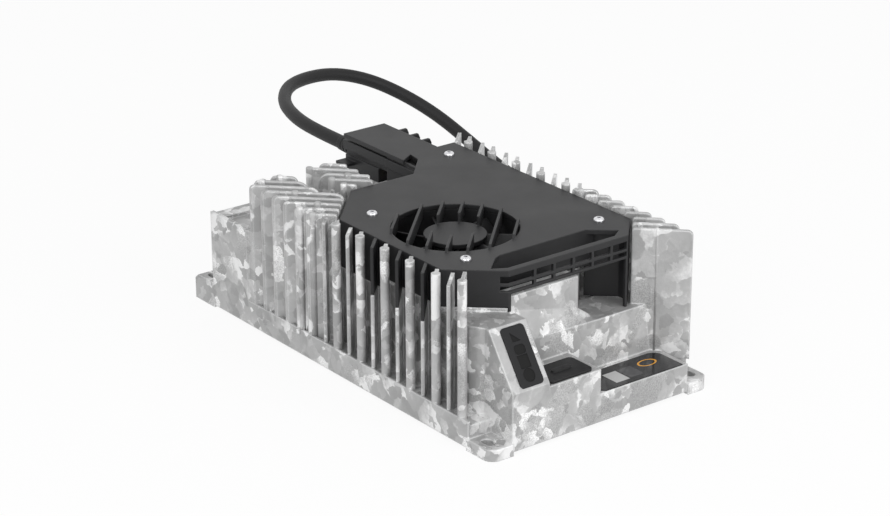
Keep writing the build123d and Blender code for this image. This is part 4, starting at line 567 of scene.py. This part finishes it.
def winding_finish(name, colour):
    """Lacquered wire side by side: waves along the axis give each wire a crest and a groove in painted shade.
    """
    material, graph, shader = new_material(name, Metallic=0.7)
    place = object_place(graph)
    waves = {"Vector": place, "Scale": WIRE_SCALE, "Distortion": 0.6}
    crest = graph.add("ShaderNodeTexWave", waves, bands_direction="Z").outputs["Fac"]
    # Painted shade: the grooves between the wires take a darker copy of the colour
    graph.join(shader.inputs["Base Color"], graph.mix(crest, tint(colour, GROOVE_SHADE), tint(colour)))
    graph.join(shader.inputs["Roughness"], graph.span(crest, 0.0, 1.0, *WIRE_ROUGHNESS))
    graph.join(shader.inputs["Normal"], graph.bump(crest, strength=0.6, depth=0.0005))
    return material


# Glossy film: the scale of its clouds, the shades between which they move the colour, and how much duller
# they make it
FILM_SCALE = 60.0
FILM_DARK_SHADE = 0.9
FILM_LIGHT_SHADE = 1.1
FILM_ROUGHNESS = 0.08


def film_finish(name, colour, roughness, gloss=0.5, coat=0.6, fields=()):
    """Glossy film: smooth, with faint uneven gloss. Each plain printed field is a mask call and a colour."""
    material, graph, shader = new_material(name, Coat_Weight=coat, Specular_IOR_Level=gloss)
    place = object_place(graph)
    cloud = graph.noise(place, FILM_SCALE, detail=3.0, roughness=0.6)
    base = graph.mix(cloud, tint(colour, FILM_DARK_SHADE), tint(colour, FILM_LIGHT_SHADE))
    for mask, paint in fields:
        base = graph.mix(mask(graph, place), base, tint(paint))
    dull = graph.span(cloud, *NOISE_RANGE, roughness, roughness + FILM_ROUGHNESS)
    graph.join(shader.inputs["Base Color"], base)
    graph.join(shader.inputs["Roughness"], dull)
    return material


# Half the width over which the edge of a printed field fades
PRINT_BLUR = 0.00015


def flat_distance(graph, place, centre, half):
    """How far a place lies beyond a rectangle seen from above: the larger of its ways past the half sizes."""
    parts = graph.add("ShaderNodeSeparateXYZ", {0: graph.vector("SUBTRACT", place, (*centre, 0.0))}).outputs
    across = graph.maths("SUBTRACT", graph.maths("ABSOLUTE", parts[0]), half[0])
    along = graph.maths("SUBTRACT", graph.maths("ABSOLUTE", parts[1]), half[1])
    return graph.maths("MAXIMUM", across, along)


def square_field(centre, half):
    """Mask of a rectangular field."""
    def mask(graph, place):
        return graph.span(flat_distance(graph, place, centre, half), PRINT_BLUR, -PRINT_BLUR)
    return mask


def ring_field(centre, half, width):
    """Mask of an oval ring: the ellipse's radius, scaled back to metres, against the ring's middle line."""
    def mask(graph, place):
        shift = graph.vector("SUBTRACT", place, (*centre, 0.0))
        unit = graph.vector("MULTIPLY", shift, (1.0 / half[0], 1.0 / half[1], 0.0))
        radius = graph.add("ShaderNodeVectorMath", {0: unit}, operation="LENGTH").outputs["Value"]
        beyond = graph.maths("MULTIPLY", graph.maths("SUBTRACT", radius, 1.0), min(half))
        return graph.span(graph.maths("ABSOLUTE", beyond), width / 2 + PRINT_BLUR, width / 2 - PRINT_BLUR)
    return mask


# Indicator panel: the direction that it faces, the middle of its underside, and the height over that which
# lies half way down the recesses of its signs
PANEL_FACING = Vector((0.0365, 0.0, 0.0250)).normalized()
PANEL_SEAT = Vector((0.1595, -0.0584, 0.06075))
SIGN_HEIGHT = 0.0006
# The plane below which the panel's sign recesses are painted darker, as shade
SIGN_PLANE = (tuple(PANEL_SEAT + SIGN_HEIGHT * PANEL_FACING), tuple(PANEL_FACING))

# Label: plain fields where the print is
LABEL_FIELDS = (
    (square_field((0.1592, 0.0229), (0.0075, 0.0058)), (0.46, 0.46, 0.46)),
    (square_field((0.1588, 0.0360), (0.0074, 0.0058)), (0.055, 0.055, 0.058)),
    (ring_field((0.1546, 0.0543), (0.0042, 0.0070), 0.0009), (0.72, 0.33, 0.03)),
)

# One finish for each material slot of the CAD nodes
FINISHES = {
    "cast_aluminium": casting_finish("bare casting"),
    "black_moulding": moulding_finish("black moulding", (0.018, 0.018, 0.019), 0.50, gloss=0.34),
    "black_rubber": moulding_finish("black rubber", (0.012, 0.012, 0.0125), 0.55, (1400.0, 0.2), gloss=0.28),
    "panel_foil": moulding_finish("panel foil", (0.012, 0.012, 0.013), 0.55, (1800.0, 0.15), gloss=0.24,
                                  sunk=SIGN_PLANE),
    "gloss_label": film_finish("gloss label", (0.012, 0.012, 0.013), 0.10, gloss=0.25, coat=0.15,
                               fields=LABEL_FIELDS),
    "screw_steel": brushed_finish("screw steel", (0.80, 0.80, 0.82), 0.22, EVEN),
    "contact_brass": brushed_finish("contact brass", (0.80, 0.62, 0.30), 0.25, LENGTHWISE),
    "circuit_board": moulding_finish("circuit board", (0.020, 0.150, 0.060), 0.35, (500.0, 0.1)),
    "ferrite": moulding_finish("ferrite", (0.060, 0.060, 0.065), 0.6, (700.0, 0.3)),
    "copper_winding": winding_finish("copper winding", (0.72, 0.34, 0.15)),
    "capacitor_sleeve": film_finish("capacitor sleeve", (0.040, 0.060, 0.160), 0.22),
    "component_grey": moulding_finish("component grey", (0.200, 0.210, 0.220), 0.4),
    "ceramic_white": moulding_finish("ceramic white", (0.780, 0.780, 0.750), 0.25, (600.0, 0.05)),
    "silicone_pad": moulding_finish("silicone pad", (0.500, 0.540, 0.580), 0.7, (700.0, 0.2)),
    "clamp_metal": brushed_finish("clamp metal", (0.70, 0.70, 0.71), 0.35, LENGTHWISE),
}


def dress(piece, finish):
    """Gives a piece one material."""
    piece.data.materials.clear()
    piece.data.materials.append(finish)


for part in frame["record"]["subparts"]:
    dress(nodes[part["node"]], FINISHES[part["material_slot"]])
dress(cord, FINISHES["black_rubber"])


# Pieces made here: ejector posts, fin ends and the cover's outer shape
def finished_mesh(name, points, faces, slot, body="case"):
    """Mesh object from arrays of points and faces, dressed and riding on its body."""
    mesh = bpy.data.meshes.new(name)
    mesh.from_pydata(points.tolist(), [], faces.tolist())
    mesh.validate()
    piece = bpy.data.objects.new(name, mesh)
    scene.collection.objects.link(piece)
    dress(piece, FINISHES[slot])
    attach(piece, body)
    return piece


def turned(profile, sides):
    """Points and faces of a profile of (radius, height) turned about Z: rings of points, joined by quads.

    A point at step i of the profile and angle t lies at (r_i cos t, r_i sin t, z_i). Both ends have radius 0.
    """
    profile = np.asarray(profile)
    angle = np.arange(sides) * 2.0 * math.pi / sides
    radius, height = profile[1:-1, 0, None], profile[1:-1, 1, None]
    rings = np.stack([radius * np.cos(angle), radius * np.sin(angle), height + 0.0 * angle], axis=2)
    points = np.vstack([rings.reshape(-1, 3), [(0.0, 0.0, profile[0, 1]), (0.0, 0.0, profile[-1, 1])]])
    step = np.arange(len(profile) - 3)[:, None] * sides
    low = step + np.arange(sides)
    side_by = step + (np.arange(sides) + 1) % sides
    quads = np.stack([low, side_by, side_by + sides, low + sides], axis=2).reshape(-1, 4)
    foot = np.full(sides, len(points) - 2)
    top = np.full(sides, len(points) - 1)
    caps_low = np.stack([foot, side_by[0], low[0]], axis=1)
    caps_high = np.stack([top, low[-1] + sides, side_by[-1] + sides], axis=1)
    return points, np.vstack([quads[:, [0, 1, 2]], quads[:, [0, 2, 3]], caps_low, caps_high])


def joined(shapes):
    """One array of points and one of faces from several pairs of them."""
    shift = np.cumsum([0] + [len(points) for points, _ in shapes[:-1]])
    faces = [faces + by for (_, faces), by in zip(shapes, shift)]
    return np.vstack([points for points, _ in shapes]), np.vstack(faces)


# Ejector posts on the fins: X, Y, foot and radius
POST_RADIUS = 0.0026
SLIM_POST_RADIUS = 0.0015
POST_DOME = 0.0010
POST_SIDES = 20
DOME_RINGS = 6
FIN_FOOT = 0.0170
LABEL_LEDGE = 0.0220
FIN_TOP = 0.1105
EJECTOR_POSTS = np.array([
    (-0.0985, -0.0828, FIN_FOOT, POST_RADIUS), (-0.0982, -0.0687, FIN_FOOT, POST_RADIUS),
    (-0.0659, -0.0778, FIN_FOOT, POST_RADIUS), (-0.0384, -0.0779, FIN_FOOT, POST_RADIUS),
    (-0.0387, -0.0920, FIN_FOOT, POST_RADIUS), (-0.0246, -0.0917, FIN_FOOT, POST_RADIUS),
    (-0.0994, -0.0423, FIN_FOOT, POST_RADIUS), (-0.0719, -0.0286, FIN_FOOT, POST_RADIUS),
    (-0.0718, -0.0423, FIN_FOOT, POST_RADIUS), (-0.0577, -0.0420, FIN_FOOT, POST_RADIUS),
    (0.1404, 0.0733, LABEL_LEDGE, SLIM_POST_RADIUS),
])


def make_ejector_posts():
    """Round posts cast into the fins, each with a low dome on top.

    The dome is a quarter of an ellipse: at the angle a its radius is r cos a and its rise is h sin a.
    """
    rise = np.linspace(0.0, math.pi / 2, DOME_RINGS)
    posts = []
    for x, y, foot, radius in EJECTOR_POSTS:
        dome = np.stack([radius * np.cos(rise), FIN_TOP + POST_DOME * np.sin(rise)], axis=1)
        points, faces = turned(np.vstack([[(0.0, foot), (radius, foot)], dome]), POST_SIDES)
        posts.append((points + (x, y, 0.0), faces))
    piece = finished_mesh("ejector_posts", *joined(posts), "cast_aluminium")
    piece.data.polygons.foreach_set("use_smooth", np.ones(len(piece.data.polygons), dtype=bool))


# Outer ends of the open fins. Fin n lies on the line X - Y = FIRST_FIN_LINE - n FIN_PITCH. Its end stands
# proud of it by a hair, and reaches the side of the casting. A web between two corners joins the rearmost end
# to the cheek wall.
FIN_PITCH = 0.0138
FIRST_FIN_LINE = 0.2327
OPEN_FINS = range(12, 18)
PROUD = 0.00003
FIN_THICKNESS = 0.0025 + 2 * PROUD
FIN_END_Y = -0.09448
FIN_END_LENGTH = 0.0120
FIN_CORNER = 0.0040
CORNER_POINTS = 8
WEB_LOW = (-0.1045, -0.09440, FIN_FOOT)
WEB_HIGH = (-0.0965, -0.09200, 0.0745)


def slab(outline, place, along, across, thickness):
    """Closed slab over a convex outline of (s, z).

    A point of the outline lies at place + s along + z up, and half the thickness to each side of that.
    """
    middle = np.asarray(place) + np.outer(outline[:, 0], along) + np.outer(outline[:, 1], (0.0, 0.0, 1.0))
    half = np.asarray(across) * thickness / 2
    points = np.vstack([middle - half, middle + half])
    count = len(outline)
    ring = np.arange(count)
    onward = (ring + 1) % count
    fan = np.stack([np.zeros(count - 2, dtype=int), ring[1:-1], ring[2:]], axis=1)
    rim_low = np.stack([ring, ring + count, onward], axis=1)
    rim_high = np.stack([onward, ring + count, onward + count], axis=1)
    faces = np.vstack([fan, fan[:, ::-1] + count, rim_low, rim_high])
    corners = points[faces] - points.mean(axis=0)
    volume = np.einsum("ij,ij->i", corners[:, 0], np.cross(corners[:, 1], corners[:, 2])).sum()
    return points, faces if volume > 0 else faces[:, ::-1]


def make_fin_ends():
    """Ends of the open fins with their rounded upper corners.

    The corner is a quarter of a circle: at the angle a it lies r (1 - cos a) along the fin and r (1 - sin a)
    below its top. The thickness is laid off along X, so that the ends lie in the side of the casting.
    """
    top = FIN_TOP + PROUD
    turn = np.linspace(0.0, math.pi / 2, CORNER_POINTS)
    corner = np.stack([FIN_CORNER * (1 - np.cos(turn)), top - FIN_CORNER * (1 - np.sin(turn))], axis=1)
    outline = np.vstack([[(0.0, FIN_FOOT)], corner, [(FIN_END_LENGTH, top), (FIN_END_LENGTH, FIN_FOOT)]])
    along = (math.sqrt(0.5), math.sqrt(0.5), 0.0)
    across = (math.sqrt(2.0), 0.0, 0.0)
    slabs = []
    for number in OPEN_FINS:
        place = (FIN_END_Y + FIRST_FIN_LINE - number * FIN_PITCH, FIN_END_Y, 0.0)
        slabs.append(slab(outline, place, along, across, FIN_THICKNESS))
    reach, depth, _ = np.subtract(WEB_HIGH, WEB_LOW)
    web = np.array([(0.0, WEB_LOW[2]), (0.0, WEB_HIGH[2]), (reach, WEB_HIGH[2]), (reach, WEB_LOW[2])])
    middle = (WEB_LOW[0], WEB_LOW[1] + depth / 2, 0.0)
    slabs.append(slab(web, middle, (1.0, 0.0, 0.0), (0.0, 1.0, 0.0), depth))
    finished_mesh("fin_ends", *joined(slabs), "cast_aluminium")


# End of the pocket's back wall: where its two outer corners stand proud, and where they lie flush
PROUD_CORNERS = np.array([(0.12970, -0.06352), (0.12970, -0.06000)])
FLUSH_CORNERS = np.array([(0.12289, -0.05736), (0.12456, -0.05547)])
CORNER_REACH = 0.0001
POINT_DECIMALS = 5


def make_cover_shell():
    """Copy of the cover whose pocket wall ends flush with the near-front corner.

    Points within reach of a proud corner, seen from above, move onto the flush corner. Points that meet are
    merged, and faces that shrink to a line are left out.
    """
    mesh = nodes["fan_cover"].data
    points = np.empty(len(mesh.vertices) * 3)
    mesh.vertices.foreach_get("co", points)
    points = points.reshape(-1, 3)
    mesh.calc_loop_triangles()
    faces = np.empty(len(mesh.loop_triangles) * 3, dtype=int)
    mesh.loop_triangles.foreach_get("vertices", faces)
    faces = faces.reshape(-1, 3)
    for proud, flush in zip(PROUD_CORNERS, FLUSH_CORNERS):
        near = np.linalg.norm(points[:, :2] - proud, axis=1) < CORNER_REACH
        points[near, :2] = flush
    rounded = np.round(points, POINT_DECIMALS)
    _, first, place = np.unique(rounded, axis=0, return_index=True, return_inverse=True)
    faces = place.reshape(-1)[faces]
    whole = (faces[:, 0] != faces[:, 1]) & (faces[:, 1] != faces[:, 2]) & (faces[:, 2] != faces[:, 0])
    piece = finished_mesh("cover_shell", points[first], faces[whole], "black_moulding")
    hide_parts("fan_cover")


make_ejector_posts()
make_fin_ends()
make_cover_shell()


# Floor, background and light
FLOOR_SIZE = 8.0
FLOOR_TONE = 0.90
FLOOR_SHADOW = 0.10
WORLD_LIGHT = 0.67
WHITE = (1.0, 1.0, 1.0, 1.0)
LAMP_AIM = Vector((0.0, 0.0, 0.05))


def make_floor():
    """Pale floor: white to the camera and in reflections, apart from a soft share of its true shading."""
    half = FLOOR_SIZE / 2
    mesh = bpy.data.meshes.new("floor")
    corners = [(-half, -half, 0), (half, -half, 0), (half, half, 0), (-half, half, 0)]
    mesh.from_pydata(corners, [], [(0, 1, 2, 3)])
    floor = bpy.data.objects.new("floor", mesh)
    scene.collection.objects.link(floor)
    material = bpy.data.materials.new("pale floor")
    material.use_nodes = True
    material.node_tree.nodes.clear()
    graph = Graph(material.node_tree)
    paint = graph.add("ShaderNodeBsdfDiffuse", {"Color": tint((FLOOR_TONE,) * 3)})
    white = graph.add("ShaderNodeEmission", {"Color": WHITE, "Strength": 1.0})
    path = graph.add("ShaderNodeLightPath")
    seen = graph.maths("MAXIMUM", path.outputs["Is Camera Ray"], path.outputs["Is Glossy Ray"])
    share = graph.maths("MULTIPLY", seen, 1.0 - FLOOR_SHADOW)
    both = graph.add("ShaderNodeMixShader", {0: share, 1: paint.outputs[0], 2: white.outputs[0]})
    output = graph.add("ShaderNodeOutputMaterial")
    graph.join(output.inputs["Surface"], both.outputs[0])
    dress(floor, material)


def make_world():
    """Even light from all round, and a white background for the camera and in reflections."""
    world = bpy.data.worlds.new("studio")
    world.use_nodes = True
    world.node_tree.nodes.clear()
    graph = Graph(world.node_tree)
    path = graph.add("ShaderNodeLightPath")
    seen = graph.maths("MAXIMUM", path.outputs["Is Camera Ray"], path.outputs["Is Transmission Ray"])
    seen = graph.maths("MAXIMUM", seen, path.outputs["Is Glossy Ray"])
    strength = graph.blend(seen, WORLD_LIGHT, 1.0)
    glow = graph.add("ShaderNodeBackground", {"Color": WHITE, "Strength": strength})
    output = graph.add("ShaderNodeOutputWorld")
    graph.join(output.inputs["Surface"], glow.outputs[0])
    scene.world = world


def make_lamp(name, place, size, power):
    """Square soft lamp that points from its place at the case."""
    data = bpy.data.lights.new(name, "AREA")
    data.size = size
    data.energy = power
    lamp = bpy.data.objects.new(name, data)
    lamp.location = place
    lamp.rotation_euler = (LAMP_AIM - Vector(place)).to_track_quat("-Z", "Y").to_euler()
    scene.collection.objects.link(lamp)


make_floor()
make_world()
make_lamp("key lamp", (1.0, -1.5, 1.2), size=1.2, power=15.0)
make_lamp("side lamp", (1.9, 0.4, 0.9), size=1.0, power=14.0)
scene.view_settings.view_transform = "Standard"
